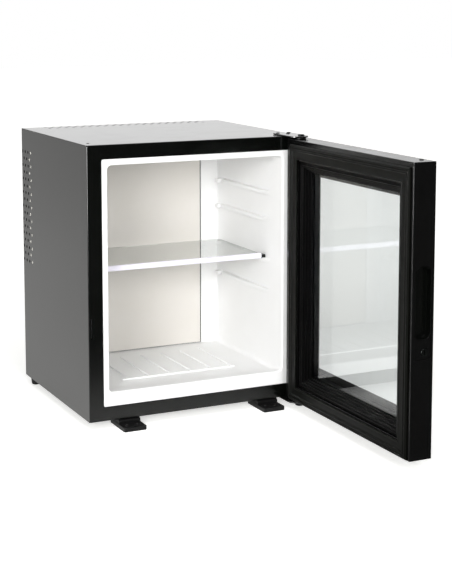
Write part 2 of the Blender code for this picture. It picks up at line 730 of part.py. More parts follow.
def make_top_panel():
    """The steel top, with a turned-down back edge and vent holes along it."""
    panel = block("top_panel", (0, PANEL_FRONT, CABINET_HEIGHT - SHEET),
                  (CABINET_WIDTH, PANEL_BACK, CABINET_HEIGHT), CABINET)
    side = PANEL_RETURN + FIT_GAP
    join(panel, block("top_return", (side, PANEL_BACK - SHEET, CABINET_HEIGHT - PANEL_RETURN),
                      (CABINET_WIDTH - side, PANEL_BACK, CABINET_HEIGHT - SHEET / 2), CABINET))
    holes = []
    for row in range(TOP_VENT_ROWS):
        staggered = row % 2
        columns = TOP_VENT_COLUMNS - staggered
        from_back = VENT_EDGE_MARGIN + row * SIDE_VENT_ROW_PITCH
        for column in range(columns):
            across = (column - (columns - 1) / 2) * VENT_COLUMN_PITCH
            holes.append((CENTRE_X + across, CABINET_DEPTH - from_back))
    cut(panel, rods("top_vents", holes, VENT_DIAMETER / 2, "Z", CABINET_HEIGHT - 2 * SHEET,
                    CABINET_HEIGHT + SHEET, CABINET))
    finish(panel, (0.03, 0.03, 0.03), 0.35)


def make_base_panel():
    """The steel base, with air slots under the space behind the foam."""
    panel = block("base_panel", (INNER_SIDE, FOAM_FRONT, 0),
                  (CABINET_WIDTH - INNER_SIDE, PANEL_BACK - SHEET - FIT_GAP, SHEET), CABINET)
    middle = (FOAM_BACK + PANEL_BACK) / 2
    slots = []
    for index in range(BASE_SLOT_COUNT):
        across = CENTRE_X + (index - (BASE_SLOT_COUNT - 1) / 2) * BASE_SLOT_PITCH
        slots.append(((across - GRILLE_SLOT_WIDTH / 2, middle - BASE_SLOT_LENGTH / 2, -SHEET),
                      (across + GRILLE_SLOT_WIDTH / 2, middle + BASE_SLOT_LENGTH / 2, 2 * SHEET)))
    cut(panel, blocks("base_slots", slots, CABINET))
    finish(panel, (0.03, 0.03, 0.03), 0.5)


def make_back_cover():
    """The steel back, with a slotted grille over the fan, intake slots and a hole for the gland."""
    cover = block("back_cover", (COVER_INSET, COVER_FRONT, COVER_INSET),
                  (CABINET_WIDTH - COVER_INSET, CABINET_DEPTH, CABINET_HEIGHT - COVER_INSET), CABINET)
    slots = []
    half_width = GRILLE_SLOT_WIDTH / 2
    fan_slots = int(GRILLE_RADIUS / GRILLE_SLOT_PITCH)
    for index in range(-fan_slots, fan_slots + 1):
        across = index * GRILLE_SLOT_PITCH
        half_length = math.sqrt(GRILLE_RADIUS ** 2 - across ** 2)
        slots.append((across, COOLING_Z - half_length, COOLING_Z + half_length))
    for index in range(INTAKE_SLOT_COUNT):
        across = (index - (INTAKE_SLOT_COUNT - 1) / 2) * 2 * GRILLE_SLOT_PITCH
        slots.append((across, INTAKE_SLOT_BOTTOM, INTAKE_SLOT_BOTTOM + INTAKE_SLOT_LENGTH))
    boxes = [((CENTRE_X + across - half_width, COVER_FRONT - SHEET, bottom),
              (CENTRE_X + across + half_width, CABINET_DEPTH + SHEET, top))
             for across, bottom, top in slots]
    cut(cover, blocks("grille_slots", boxes, CABINET))
    cut(cover, rods("gland_hole", [(GLAND_X, GLAND_Z)], GLAND_DIAMETER / 2 + FIT_GAP, "Y",
                    COVER_FRONT - SHEET, CABINET_DEPTH + SHEET, CABINET, sides=ROUND_SIDES))
    finish(cover, (0.03, 0.03, 0.03), 0.5)


def make_cooling_unit():
    """Cold plate, cold block, module, heatsink and the fan's frame, one behind the other."""
    plate_back = CAVITY_DEPTH - FIT_GAP
    plate = block("cold_plate", (CENTRE_X - COLD_PLATE_WIDTH / 2, plate_back - COLD_PLATE_THICKNESS,
                                 FLOOR_HEIGHT + COLD_PLATE_END_GAP),
                  (CENTRE_X + COLD_PLATE_WIDTH / 2, plate_back, CAVITY_TOP - COLD_PLATE_END_GAP),
                  CABINET, bevel=COLD_PLATE_EDGE)
    finish(plate, (0.8, 0.8, 0.8), 0.35)
    module_front = FOAM_BACK - MODULE_THICKNESS
    half = COLD_BLOCK_SIZE / 2
    cold = block("cold_block", (CENTRE_X - half, CAVITY_DEPTH, COOLING_Z - half),
                 (CENTRE_X + half, module_front - FIT_GAP, COOLING_Z + half), CABINET,
                 bevel=COLD_BLOCK_EDGE)
    finish(cold, (0.7, 0.7, 0.7), 0.3, metallic=1.0)
    make_module(module_front)
    make_heatsink()
    make_fan_frame()
    make_fan_rotor()


def make_module(front):
    """The thermoelectric module: two ceramic plates round a core."""
    half = MODULE_SIZE / 2
    module = block("thermoelectric_module", (CENTRE_X - half, front, COOLING_Z - half),
                   (CENTRE_X + half, front + MODULE_PLATE, COOLING_Z + half), CABINET)
    core = half - MODULE_CORE_INSET
    join(module, block("module_core", (CENTRE_X - core, front + MODULE_PLATE / 2, COOLING_Z - core),
                       (CENTRE_X + core, FOAM_BACK - MODULE_PLATE / 2, COOLING_Z + core), CABINET))
    join(module, block("module_hot_plate", (CENTRE_X - half, FOAM_BACK - MODULE_PLATE,
                                            COOLING_Z - half),
                       (CENTRE_X + half, FOAM_BACK, COOLING_Z + half), CABINET))
    finish(module, (0.8, 0.8, 0.78), 0.6)


def make_heatsink():
    """An extruded heatsink: its comb outline is carried up its height."""
    left = CENTRE_X - HEATSINK_SIZE / 2
    fin_foot = HEATSINK_FRONT + HEATSINK_BASE
    fin_tip = fin_foot + FIN_HEIGHT
    pitch = (HEATSINK_SIZE - FIN_THICKNESS) / (FIN_COUNT - 1)
    comb = [(left + HEATSINK_SIZE, HEATSINK_FRONT), (left, HEATSINK_FRONT)]
    for index in range(FIN_COUNT):
        start = left + index * pitch
        end = start + FIN_THICKNESS
        fin = [(start, fin_foot), (start, fin_tip), (end, fin_tip), (end, fin_foot)]
        comb += fin[1:] if index == 0 else fin
    comb.pop()
    sink = prism("heatsink", comb, "Z", COOLING_Z - HEATSINK_SIZE / 2,
                 COOLING_Z + HEATSINK_SIZE / 2, CABINET)
    finish(sink, (0.6, 0.6, 0.6), 0.35, metallic=1.0)


def make_fan_frame():
    """The fan's square frame, with a motor seat on four struts and a fixed shaft."""
    half = FAN_SIZE / 2
    outline = rounded_rectangle((CENTRE_X - half, COOLING_Z - half),
                                (CENTRE_X + half, COOLING_Z + half), FAN_CORNER_RADIUS)
    frame = prism("fan_frame", outline, "Y", FAN_FRONT, FAN_BACK, CABINET)
    centre = [(CENTRE_X, COOLING_Z)]
    cut(frame, rods("fan_bore", centre, FAN_BORE_DIAMETER / 2, "Y", FAN_FRONT - CUT_OVERRUN,
                    FAN_BACK + CUT_OVERRUN, CABINET, sides=ROUND_SIDES))
    seat_front = FAN_BACK - FAN_PLATE
    reach = FAN_BORE_DIAMETER / 2 + FAN_STRUT_SINK
    for across, up in ((reach, FAN_STRUT_WIDTH / 2), (FAN_STRUT_WIDTH / 2, reach)):
        join(frame, block("fan_strut", (CENTRE_X - across, seat_front, COOLING_Z - up),
                          (CENTRE_X + across, FAN_BACK - 2 * JOIN_STEP, COOLING_Z + up), CABINET))
    shaft = FAN_SHAFT_DIAMETER / 2
    seat = FAN_MOTOR_DIAMETER / 2
    step = seat_front + JOIN_STEP
    tip = ROTOR_FRONT + FAN_NOSE_WALL + FIT_GAP
    join(frame, turned("motor_seat", [(0, FAN_BACK), (seat, FAN_BACK), (seat, step), (shaft, step),
                                      (shaft, tip), (0, tip)],
                       (CENTRE_X, 0, COOLING_Z), "Y", CABINET, steps=ROUND_SIDES))
    corner = half - FAN_SCREW_INSET
    holes = [(CENTRE_X + x, COOLING_Z + z) for x in (-corner, corner) for z in (-corner, corner)]
    cut(frame, rods("fan_screw_holes", holes, FAN_SCREW_HOLE / 2, "Y", FAN_FRONT - CUT_OVERRUN,
                    FAN_BACK + CUT_OVERRUN, CABINET))
    finish(frame, (0.012, 0.012, 0.012), 0.5)


def make_fan_rotor():
    """The rotor: a hub cup bored for the shaft, with twisted blades."""
    front = ROTOR_FRONT
    back = FAN_BACK - FAN_PLATE - FIT_GAP
    hub = FAN_HUB_DIAMETER / 2
    bore = FAN_SHAFT_DIAMETER / 2 + FIT_GAP
    nose = hub / 2
    nose_front = front - 2 * JOIN_STEP
    bore_end = front + FAN_NOSE_WALL
    axis_point = (CENTRE_X, 0, COOLING_Z)
    rotor = turned("fan_rotor", [(hub, back), (hub, front + FAN_HUB_EDGE),
                                 (hub - FAN_HUB_EDGE, front), (bore, front), (bore, back)],
                   axis_point, "Y", FAN, steps=ROUND_SIDES)
    join(rotor, turned("hub_nose", [(0, bore_end), (nose, bore_end), (nose, nose_front),
                                    (0, nose_front)], axis_point, "Y", FAN, steps=ROUND_SIDES))
    join(rotor, fan_blades(hub, FAN_BORE_DIAMETER / 2 - FAN_TIP_GAP, (front + back) / 2))
    finish(rotor, (0.02, 0.02, 0.02), 0.45)


def fan_blades(root, tip, middle):
    """Blades whose pitch eases from root to tip, spaced evenly round the hub."""
    shape = bmesh.new()
    start = root - BLADE_SINK
    for index in range(BLADE_COUNT):
        blade = bmesh.ops.create_grid(shape, x_segments=4, y_segments=2, size=0.5)["verts"]
        for vert in blade:
            share = vert.co.x + 0.5
            radius = start + share * (tip - start)
            angle = BLADE_ROOT_ANGLE + share * (BLADE_TIP_ANGLE - BLADE_ROOT_ANGLE)
            width = BLADE_ROOT_CHORD + share * (BLADE_TIP_CHORD - BLADE_ROOT_CHORD)
            chord = vert.co.y * width
            camber = BLADE_CAMBER * math.cos(math.pi * vert.co.y)
            around = chord * math.cos(angle) / radius + math.tau * index / BLADE_COUNT
            vert.co = (CENTRE_X + radius * math.cos(around),
                       middle + chord * math.sin(angle) + camber,
                       COOLING_Z + radius * math.sin(around))
    mesh = bpy.data.meshes.new("fan_blades")
    shape.to_mesh(mesh)
    shape.free()
    blades = add_solid("fan_blades", mesh, FAN)
    skin = blades.modifiers.new("thickness", "SOLIDIFY")
    skin.thickness = BLADE_THICKNESS
    skin.offset = 0
    return blades


def make_control_box():
    """The box of electronics, standing on the base behind the foam."""
    right = CABINET_WIDTH - CONTROL_BOX_SIDE_MARGIN
    left = right - CONTROL_BOX_WIDTH
    bottom = SHEET + FIT_GAP
    top = bottom + CONTROL_BOX_HEIGHT
    front = FOAM_BACK + FIT_GAP
    case = block("control_box", (left, front, bottom), (right, front + CONTROL_BOX_DEPTH, top),
                 CABINET, bevel=CONTROL_BOX_EDGE)
    face = front + CONTROL_BOX_DEPTH
    slots = []
    for index in range(CASE_SLOT_COUNT):
        low = bottom + CASE_SLOT_MARGIN + index * GRILLE_SLOT_PITCH
        slots.append(((left + CASE_SLOT_MARGIN, face - CASE_SLOT_DEPTH, low),
                      (right - CASE_SLOT_MARGIN, face + CUT_OVERRUN, low + CASE_SLOT_HEIGHT)))
    cut(case, blocks("case_slots", slots, CABINET))
    finish(case, (0.02, 0.02, 0.02), 0.5)
    middle = front + CONTROL_BOX_DEPTH / 2
    fan_bottom = COOLING_Z - FAN_SIZE / 2 - FIT_GAP
    cable_y = FAN_BACK - FAN_DEPTH / 2
    start = CENTRE_X + FAN_SIZE / 2 - CABLE_INSET
    end = right - 2 * CABLE_INSET
    cable("fan_cable", [(start, cable_y, fan_bottom), (start, cable_y, fan_bottom - CABLE_STUB),
                        (start, cable_y, fan_bottom - 3 * CABLE_STUB),
                        ((start + end) / 2, (cable_y + middle) / 2, (fan_bottom + top) / 2),
                        (end, middle, top + 3 * CABLE_STUB), (end, middle, top + CABLE_STUB),
                        (end, middle, top + FIT_GAP)])
    groove_y = FOAM_BACK - MODULE_THICKNESS / 2
    module_bottom = COOLING_Z - MODULE_SIZE / 2 - FIT_GAP
    sink_bottom = COOLING_Z - HEATSINK_SIZE / 2
    end = left + CABLE_INSET
    cable("module_cable", [(CENTRE_X, groove_y, module_bottom), (CENTRE_X, groove_y, sink_bottom),
                           (CENTRE_X, FOAM_BACK + 2 * CABLE_RADIUS, sink_bottom - 2 * CABLE_STUB),
                           ((CENTRE_X + end) / 2, middle, (sink_bottom + top) / 2),
                           (end, middle, top + 3 * CABLE_STUB), (end, middle, top + CABLE_STUB),
                           (end, middle, top + FIT_GAP)])


def cable(name, route, samples=3):
    """A lead along a smooth curve through its route, with straight ends."""
    knots = [Vector(point) for point in route]
    points = [knots[0]]
    for before, start, end, after in zip(knots, knots[1:], knots[2:], knots[3:]):
        for step in range(samples):
            t = step / samples
            points.append(0.5 * ((2 * start) + (end - before) * t
                                 + (2 * before - 5 * start + 4 * end - after) * t ** 2
                                 + (3 * start - before - 3 * end + after) * t ** 3))
    points += knots[-2:]
    curve = bpy.data.curves.new(name, "CURVE")
    curve.dimensions = "3D"
    spline = curve.splines.new("POLY")
    spline.points.add(len(points) - 1)
    for point, place in zip(spline.points, points):
        point.co = (*place, 1)
    curve.bevel_depth = CABLE_RADIUS
    curve.bevel_resolution = 1
    curve.use_fill_caps = True
    lead = curve_solid(name, curve, Matrix.Identity(4), CABINET)
    finish(lead, (0.01, 0.01, 0.01), 0.6)


def make_cable_gland():
    """The gland in the back cover that the supply cord enters by."""
    bore = GLAND_BORE / 2
    neck = GLAND_DIAMETER / 2
    flange = neck + GLAND_FLANGE
    seat = COVER_FRONT - FIT_GAP
    gland = turned("cable_gland", [(neck - GLAND_EDGE, CABINET_DEPTH),
                                   (neck, CABINET_DEPTH - GLAND_EDGE), (neck, seat),
                                   (flange, seat), (flange, seat - GLAND_FLANGE),
                                   (bore, seat - GLAND_FLANGE), (bore, CABINET_DEPTH)],
                   (GLAND_X, 0, GLAND_Z), "Y", CABINET)
    finish(gland, (0.02, 0.02, 0.02), 0.5)


def make_front_bracket(side):
    """A black foot at the front, with a flange ahead of the cabinet that takes two screws."""
    if side == "left":
        left = BRACKET_SIDE_MARGIN
    else:
        left = CABINET_WIDTH - BRACKET_RIGHT_MARGIN - BRACKET_WIDTH
    right = left + BRACKET_WIDTH
    ground = -GROUND_CLEARANCE
    plan = rounded([(left, -BRACKET_REACH, BRACKET_NOSE_RADIUS),
                    (right, -BRACKET_REACH, BRACKET_NOSE_RADIUS),
                    (right, BRACKET_TAIL, BRACKET_TAIL_RADIUS),
                    (left, BRACKET_TAIL, BRACKET_TAIL_RADIUS)], steps=3)
    bracket = prism("front_bracket_" + side, plan, "Z", ground, ground + BRACKET_PLATE, CABINET)
    foot = BRACKET_RISER_FRONT - BRACKET_RISER_SLOPE
    back = BRACKET_TAIL - BRACKET_RISER_INSET
    sunk = ground + BRACKET_PLATE / 2
    riser = [(foot, sunk), (back, sunk), (back, -FIT_GAP), (BRACKET_RISER_FRONT, -FIT_GAP),
             (foot, -BRACKET_RISER_DROP)]
    join(bracket, prism("bracket_riser", riser, "X", left + BRACKET_RISER_INSET,
                        right - BRACKET_RISER_INSET, CABINET))
    middle = (left + right) / 2
    half = BRACKET_HOLE_PITCH / 2
    holes = [(middle + x, -BRACKET_HOLE_REACH) for x in (-half, half)]
    cut(bracket, rods("bracket_holes", holes, BRACKET_HOLE / 2, "Z", ground - CUT_OVERRUN,
                      ground + CUT_OVERRUN, CABINET))
    finish(bracket, (0.012, 0.012, 0.012), 0.45)


def make_rear_foot(side):
    """A tapered moulded foot under a back corner."""
    x = mirrored_x(REAR_FOOT_SIDE, side)
    y = CABINET_DEPTH - REAR_FOOT_FROM_BACK
    foot = rods("rear_foot_" + side, [(x, y)], REAR_FOOT_BOTTOM / 2, "Z", -GROUND_CLEARANCE,
                -FIT_GAP, CABINET, sides=ROUND_SIDES, end_radius=REAR_FOOT_TOP / 2)
    finish(foot, (0.012, 0.012, 0.012), 0.5)


def hinge_plate(name, bottom):
    """A flat steel plate on the cabinet that reaches forward to the pin, with a round nose."""
    right = CABINET_WIDTH - HINGE_PLATE_SIDE
    left = right - HINGE_PLATE_WIDTH
    nose = HINGE_PLATE_WIDTH / 2 - HINGE_NOSE_FLAT
    front = PIN_Y - nose
    plan = rounded([(left, HINGE_PLATE_TAIL, HINGE_PLATE_RADIUS), (left, front, nose),
                    (right, front, nose), (right, HINGE_PLATE_TAIL, HINGE_PLATE_RADIUS)], steps=6)
    plate = prism(name, plan, "Z", bottom, bottom + HINGE_PLATE_THICKNESS, CABINET)
    cut(plate, rods(name + "_hole", [(PIN_X, PIN_Y)], PIN_DIAMETER / 2 + FIT_GAP, "Z",
                    bottom - CUT_OVERRUN, bottom + CUT_OVERRUN, CABINET, sides=ROUND_SIDES))
    finish(plate, (0.02, 0.02, 0.02), 0.4, metallic=0.6)


def make_hinges():
    """Both hinge plates, their pins and the flanged bushings in the door."""
    upper_bottom = CABINET_HEIGHT + FIT_GAP
    upper_top = upper_bottom + HINGE_PLATE_THICKNESS
    lower_top = -FIT_GAP
    lower_bottom = lower_top - HINGE_PLATE_THICKNESS
    hinge_plate("upper_hinge_plate", upper_bottom)
    hinge_plate("lower_hinge_plate", lower_bottom)
    shank = PIN_DIAMETER / 2
    head = UPPER_PIN_HEAD / 2
    seat = upper_top + FIT_GAP
    crown = seat + UPPER_PIN_HEAD_HEIGHT
    tip = DOOR_TOP - PIN_ENGAGEMENT
    upper = turned("upper_hinge_pin", [(0, crown), (head - PIN_EDGE, crown),
                                       (head, crown - PIN_EDGE), (head, seat), (shank, seat),
                                       (shank, tip + PIN_EDGE), (shank - PIN_EDGE, tip), (0, tip)],
                   (PIN_X, PIN_Y, 0), "Z", CABINET)
    finish(upper, (0.3, 0.3, 0.3), 0.3, metallic=1.0)
    cap = LOWER_PIN_CAP / 2
    seat = lower_bottom - FIT_GAP
    base = seat - LOWER_PIN_CAP_HEIGHT
    tip = DOOR_BOTTOM + PIN_ENGAGEMENT
    lower = turned("lower_hinge_pin", [(0, tip), (shank - PIN_EDGE, tip), (shank, tip - PIN_EDGE),
                                       (shank, seat), (cap, seat), (cap, base + PIN_EDGE),
                                       (cap - PIN_EDGE, base), (0, base)],
                   (PIN_X, PIN_Y, 0), "Z", CABINET)
    finish(lower, (0.02, 0.02, 0.02), 0.4)
    bore = shank + FIT_GAP
    barrel = BUSHING_DIAMETER / 2
    flange = BUSHING_FLANGE / 2
    upper_bush = turned("upper_hinge_bushing",
                        [(flange, upper_bottom - FIT_GAP), (flange, DOOR_TOP + FIT_GAP),
                         (barrel, DOOR_TOP + FIT_GAP), (barrel, DOOR_TOP - BUSHING_LENGTH),
                         (bore, DOOR_TOP - BUSHING_LENGTH), (bore, upper_bottom - FIT_GAP)],
                        (PIN_X, PIN_Y, 0), "Z", DOOR)
    finish(upper_bush, (0.02, 0.02, 0.02), 0.5)
    lower_bush = turned("lower_hinge_bushing",
                        [(barrel, DOOR_BOTTOM + BUSHING_LENGTH), (barrel, DOOR_BOTTOM - FIT_GAP),
                         (flange, DOOR_BOTTOM - FIT_GAP), (flange, lower_top + FIT_GAP),
                         (bore, lower_top + FIT_GAP), (bore, DOOR_BOTTOM + BUSHING_LENGTH)],
                        (PIN_X, PIN_Y, 0), "Z", DOOR)
    finish(lower_bush, (0.02, 0.02, 0.02), 0.5)


def inset_box(low, high, inset):
    """A rectangle's corners, moved inward by an inset."""
    return (low[0] + inset, low[1] + inset), (high[0] - inset, high[1] - inset)


def upright_block(name, low, high, front, back, body):
    """A box from (x, z) corners and its front and back."""
    return block(name, (low[0], front, low[1]), (high[0], back, high[1]), body)


def make_door_frame():
    """The door's frame, stepped for both panes, with seats for the bushings, grip and lock."""
    left, right = DOOR_LEFT, DOOR_RIGHT
    plan = rounded([(left, DOOR_FRONT, DOOR_FREE_RADIUS), (right, DOOR_FRONT, DOOR_HINGE_RADIUS),
                    (right, DOOR_BACK, DOOR_HINGE_RADIUS), (left, DOOR_BACK, DOOR_FREE_RADIUS)])
    frame = prism("door_frame", plan, "Z", DOOR_BOTTOM, DOOR_TOP, DOOR)
    lip = inset_box((left, DOOR_BOTTOM), (right, DOOR_TOP), FRONT_LIP)
    cut(frame, upright_block("front_rebate", *lip, DOOR_FRONT - CUT_OVERRUN,
                             OUTER_PANE_BACK + FIT_GAP, DOOR))
    step = inset_box(REVEAL_LOW, REVEAL_HIGH, REVEAL_STEP)
    pane_seat = inset_box(*step, -PANE_OVERLAP - FIT_GAP)
    cut(frame, upright_block("pane_seat", *pane_seat, OUTER_PANE_BACK, INNER_PANE_BACK + FIT_GAP,
                             DOOR))
    cut(frame, upright_block("window", *step, INNER_PANE_FRONT, DOOR_BACK - REVEAL_DEPTH / 2, DOOR))
    cut(frame, upright_block("reveal", REVEAL_LOW, REVEAL_HIGH, DOOR_BACK - REVEAL_DEPTH,
                             DOOR_BACK + CUT_OVERRUN, DOOR))
    bore = BUSHING_DIAMETER / 2 + FIT_GAP
    depth = BUSHING_LENGTH + FIT_GAP
    pin = [(PIN_X, PIN_Y)]
    cut(frame, rods("upper_bore", pin, bore, "Z", DOOR_TOP - depth, DOOR_TOP + CUT_OVERRUN, DOOR,
                    sides=ROUND_SIDES))
    cut(frame, rods("lower_bore", pin, bore, "Z", DOOR_BOTTOM - CUT_OVERRUN, DOOR_BOTTOM + depth,
                    DOOR, sides=ROUND_SIDES))
    plug = [(left + PLUG_FROM_FREE_EDGE, DOOR_BACK - PLUG_FROM_BACK)]
    cut(frame, rods("plug_hole", plug, PLUG_DIAMETER / 2 - PLUG_LAP + FIT_GAP, "Z",
                    DOOR_TOP - PLUG_DEPTH - FIT_GAP, DOOR_TOP + CUT_OVERRUN, DOOR,
                    sides=SMALL_ROUND_SIDES))
    cut(frame, prism("grip_room", grip_outline(-FIT_GAP), "X", left - CUT_OVERRUN,
                     left + GRIP_DEPTH + FIT_GAP, DOOR))
    cut_lock_seat(frame)
    finish(frame, (0.006, 0.006, 0.006), 0.25)


def grip_outline(inset):
    """The grip cup's outline on the door's edge, round at both ends."""
    back = DOOR_BACK - GRIP_FROM_BACK - inset
    front = DOOR_BACK - GRIP_FROM_BACK - GRIP_WIDTH + inset
    bottom = DOOR_BOTTOM + GRIP_BOTTOM + inset
    return rounded_rectangle((front, bottom), (back, bottom + GRIP_HEIGHT - 2 * inset),
                             GRIP_RADIUS - inset, steps=5)


def cut_lock_seat(frame):
    """The shallow recess round the lock, its bore and the pocket that its cam turns in."""
    left = DOOR_LEFT
    back = DOOR_BACK - GRIP_FROM_BACK
    front = back - GRIP_WIDTH
    bottom = DOOR_BOTTOM + LOCK_RECESS_BOTTOM
    top = DOOR_BOTTOM + GRIP_BOTTOM + GRIP_RADIUS
    recess = rounded([(front, bottom, LOCK_RECESS_RADIUS), (back, bottom, LOCK_RECESS_RADIUS),
                      (back, top, 0), (front, top, 0)])
    cut(frame, prism("lock_recess", recess, "X", left - CUT_OVERRUN, left + LOCK_RECESS_DEPTH, DOOR))
    axis = [(LOCK_Y, LOCK_Z)]
    cam_back = CAM_FRONT + CAM_THICKNESS
    shaft_end = LOCK_X + LOCK_DISC_THICKNESS + LOCK_SHAFT_LENGTH
    cut(frame, rods("disc_bore", axis, LOCK_DISC_DIAMETER / 2 + FIT_GAP, "X",
                    left - CUT_OVERRUN / 2, CAM_FRONT - FIT_GAP / 2, DOOR, sides=ROUND_SIDES))
    cut(frame, rods("shaft_bore", axis, LOCK_SHAFT_DIAMETER / 2 + FIT_GAP, "X", left,
                    shaft_end + FIT_GAP, DOOR, sides=SMALL_ROUND_SIDES))
    side = CAM_HUB + CAM_CLEARANCE
    rise = math.asin(side / CAM_REACH)
    sweep = [(LOCK_Y - side, LOCK_Z + side)]
    for step in range(SMALL_ROUND_SIDES + 1):
        angle = rise - (math.pi / 2 + 2 * rise) * step / SMALL_ROUND_SIDES
        sweep.append((LOCK_Y + CAM_REACH * math.cos(angle), LOCK_Z + CAM_REACH * math.sin(angle)))
    cut(frame, prism("cam_pocket", sweep, "X", CAM_FRONT - FIT_GAP, cam_back + FIT_GAP, DOOR))


def make_grip_cup():
    """The moulded finger cup in the door's free edge."""
    cup = prism("grip_cup", grip_outline(0), "X", DOOR_LEFT, DOOR_LEFT + GRIP_DEPTH, DOOR)
    cut(cup, prism("cup_hollow", grip_outline(GRIP_WALL), "X", DOOR_LEFT - CUT_OVERRUN,
                   DOOR_LEFT + GRIP_DEPTH - GRIP_WALL, DOOR))
    finish(cup, (0.004, 0.004, 0.004), 0.3)


def make_door_glass():
    """The outer and inner panes, and the spacer bar that holds them apart."""
    outer = inset_box((DOOR_LEFT, DOOR_BOTTOM), (DOOR_RIGHT, DOOR_TOP), FRONT_LIP + FIT_GAP)
    pane = upright_block("outer_glass", *outer, DOOR_FRONT, OUTER_PANE_BACK, DOOR)
    finish(pane, (0.5, 0.55, 0.53), 0.05, alpha=0.35)
    inner = inset_box(REVEAL_LOW, REVEAL_HIGH, REVEAL_STEP - PANE_OVERLAP)
    pane = upright_block("inner_glass", *inner, INNER_PANE_FRONT, INNER_PANE_BACK, DOOR)
    finish(pane, (0.5, 0.55, 0.53), 0.05, alpha=0.35)
    front, back = OUTER_PANE_BACK + FIT_GAP, INNER_PANE_FRONT - FIT_GAP
    spacer = frame_ring("glass_spacer", *inner,
                        [(SPACER_INSET, front), (SPACER_INSET + SPACER_WIDTH, front),
                         (SPACER_INSET + SPACER_WIDTH, back), (SPACER_INSET, back)], DOOR)
    finish(spacer, (0.02, 0.02, 0.02), 0.4)


def make_glass_trim():
    """The ribbed trim that dresses the step from the door's back to the inner pane."""
    seat = DOOR_BACK - REVEAL_DEPTH + FIT_GAP
    glass = INNER_PANE_BACK + FIT_GAP
    side = REVEAL_STEP + FIT_GAP
    face = seat + GLASS_TRIM_THICKNESS
    crest = face + GLASS_TRIM_RIB_RISE
    rib = GLASS_TRIM_RIB_INSET + GLASS_TRIM_RIB_SLOPE
    rib_end = rib + GLASS_TRIM_RIB_CREST
    skirt = side + GLASS_TRIM_SKIRT
    section = [(FIT_GAP, seat), (FIT_GAP, face), (GLASS_TRIM_RIB_INSET, face), (rib, crest),
               (rib_end, crest), (rib_end + GLASS_TRIM_RIB_SLOPE, face),
               (REVEAL_STEP - GLASS_TRIM_RIB_SLOPE, seat + GLASS_TRIM_EDGE), (skirt, seat),
               (skirt, glass), (side, glass), (side, seat)]
    trim = frame_ring("glass_trim", REVEAL_LOW, REVEAL_HIGH, section, DOOR)
    finish(trim, (0.03, 0.03, 0.03), 0.4)


def make_door_gasket():
    """The magnetic seal, with its ridges, a flat band inside them and a bead along its edge."""
    low = (DOOR_LEFT + GASKET_FREE_MARGIN, DOOR_BOTTOM + GASKET_BOTTOM_MARGIN)
    high = (DOOR_RIGHT - GASKET_HINGE_MARGIN, DOOR_TOP - GASKET_TOP_MARGIN)
    seat = DOOR_BACK + FIT_GAP
    land = -GASKET_LAND
    groove = land - GASKET_GROOVE
    band = land - GASKET_BAND_DROP
    slope = GASKET_RIDGE_SLOPE
    section = [(0, seat)]
    for ridge in range(GASKET_RIDGE_COUNT):
        start = ridge * GASKET_RIDGE_PITCH
        end = start + 2 * slope + GASKET_RIDGE_CREST
        section += [(start, groove), (start + slope, land), (end - slope, land), (end, groove)]
    bead = GASKET_WIDTH - GASKET_BEAD_WIDTH
    bead_top = band + GASKET_BEAD_RISE
    section += [(GASKET_RIDGE_COUNT * GASKET_RIDGE_PITCH - slope, band), (bead - slope, band),
                (bead, bead_top), (GASKET_WIDTH - slope / 2, bead_top), (GASKET_WIDTH, seat)]
    gasket = frame_ring("door_gasket", low, high, section, DOOR)
    finish(gasket, (0.02, 0.02, 0.018), 0.6)


def make_door_plug():
    """The small plug in the door's top near its free edge."""
    head = PLUG_DIAMETER / 2
    stem = head - PLUG_LAP
    seat = DOOR_TOP + FIT_GAP
    plug = turned("door_top_plug", [(0, seat + PLUG_CROWN), (stem, seat + PLUG_RIM), (head, seat),
                                    (stem, seat), (stem, DOOR_TOP - PLUG_DEPTH),
                                    (0, DOOR_TOP - PLUG_DEPTH)],
                  (DOOR_LEFT + PLUG_FROM_FREE_EDGE, DOOR_BACK - PLUG_FROM_BACK, 0), "Z", DOOR)
    finish(plug, (0.01, 0.01, 0.01), 0.5)


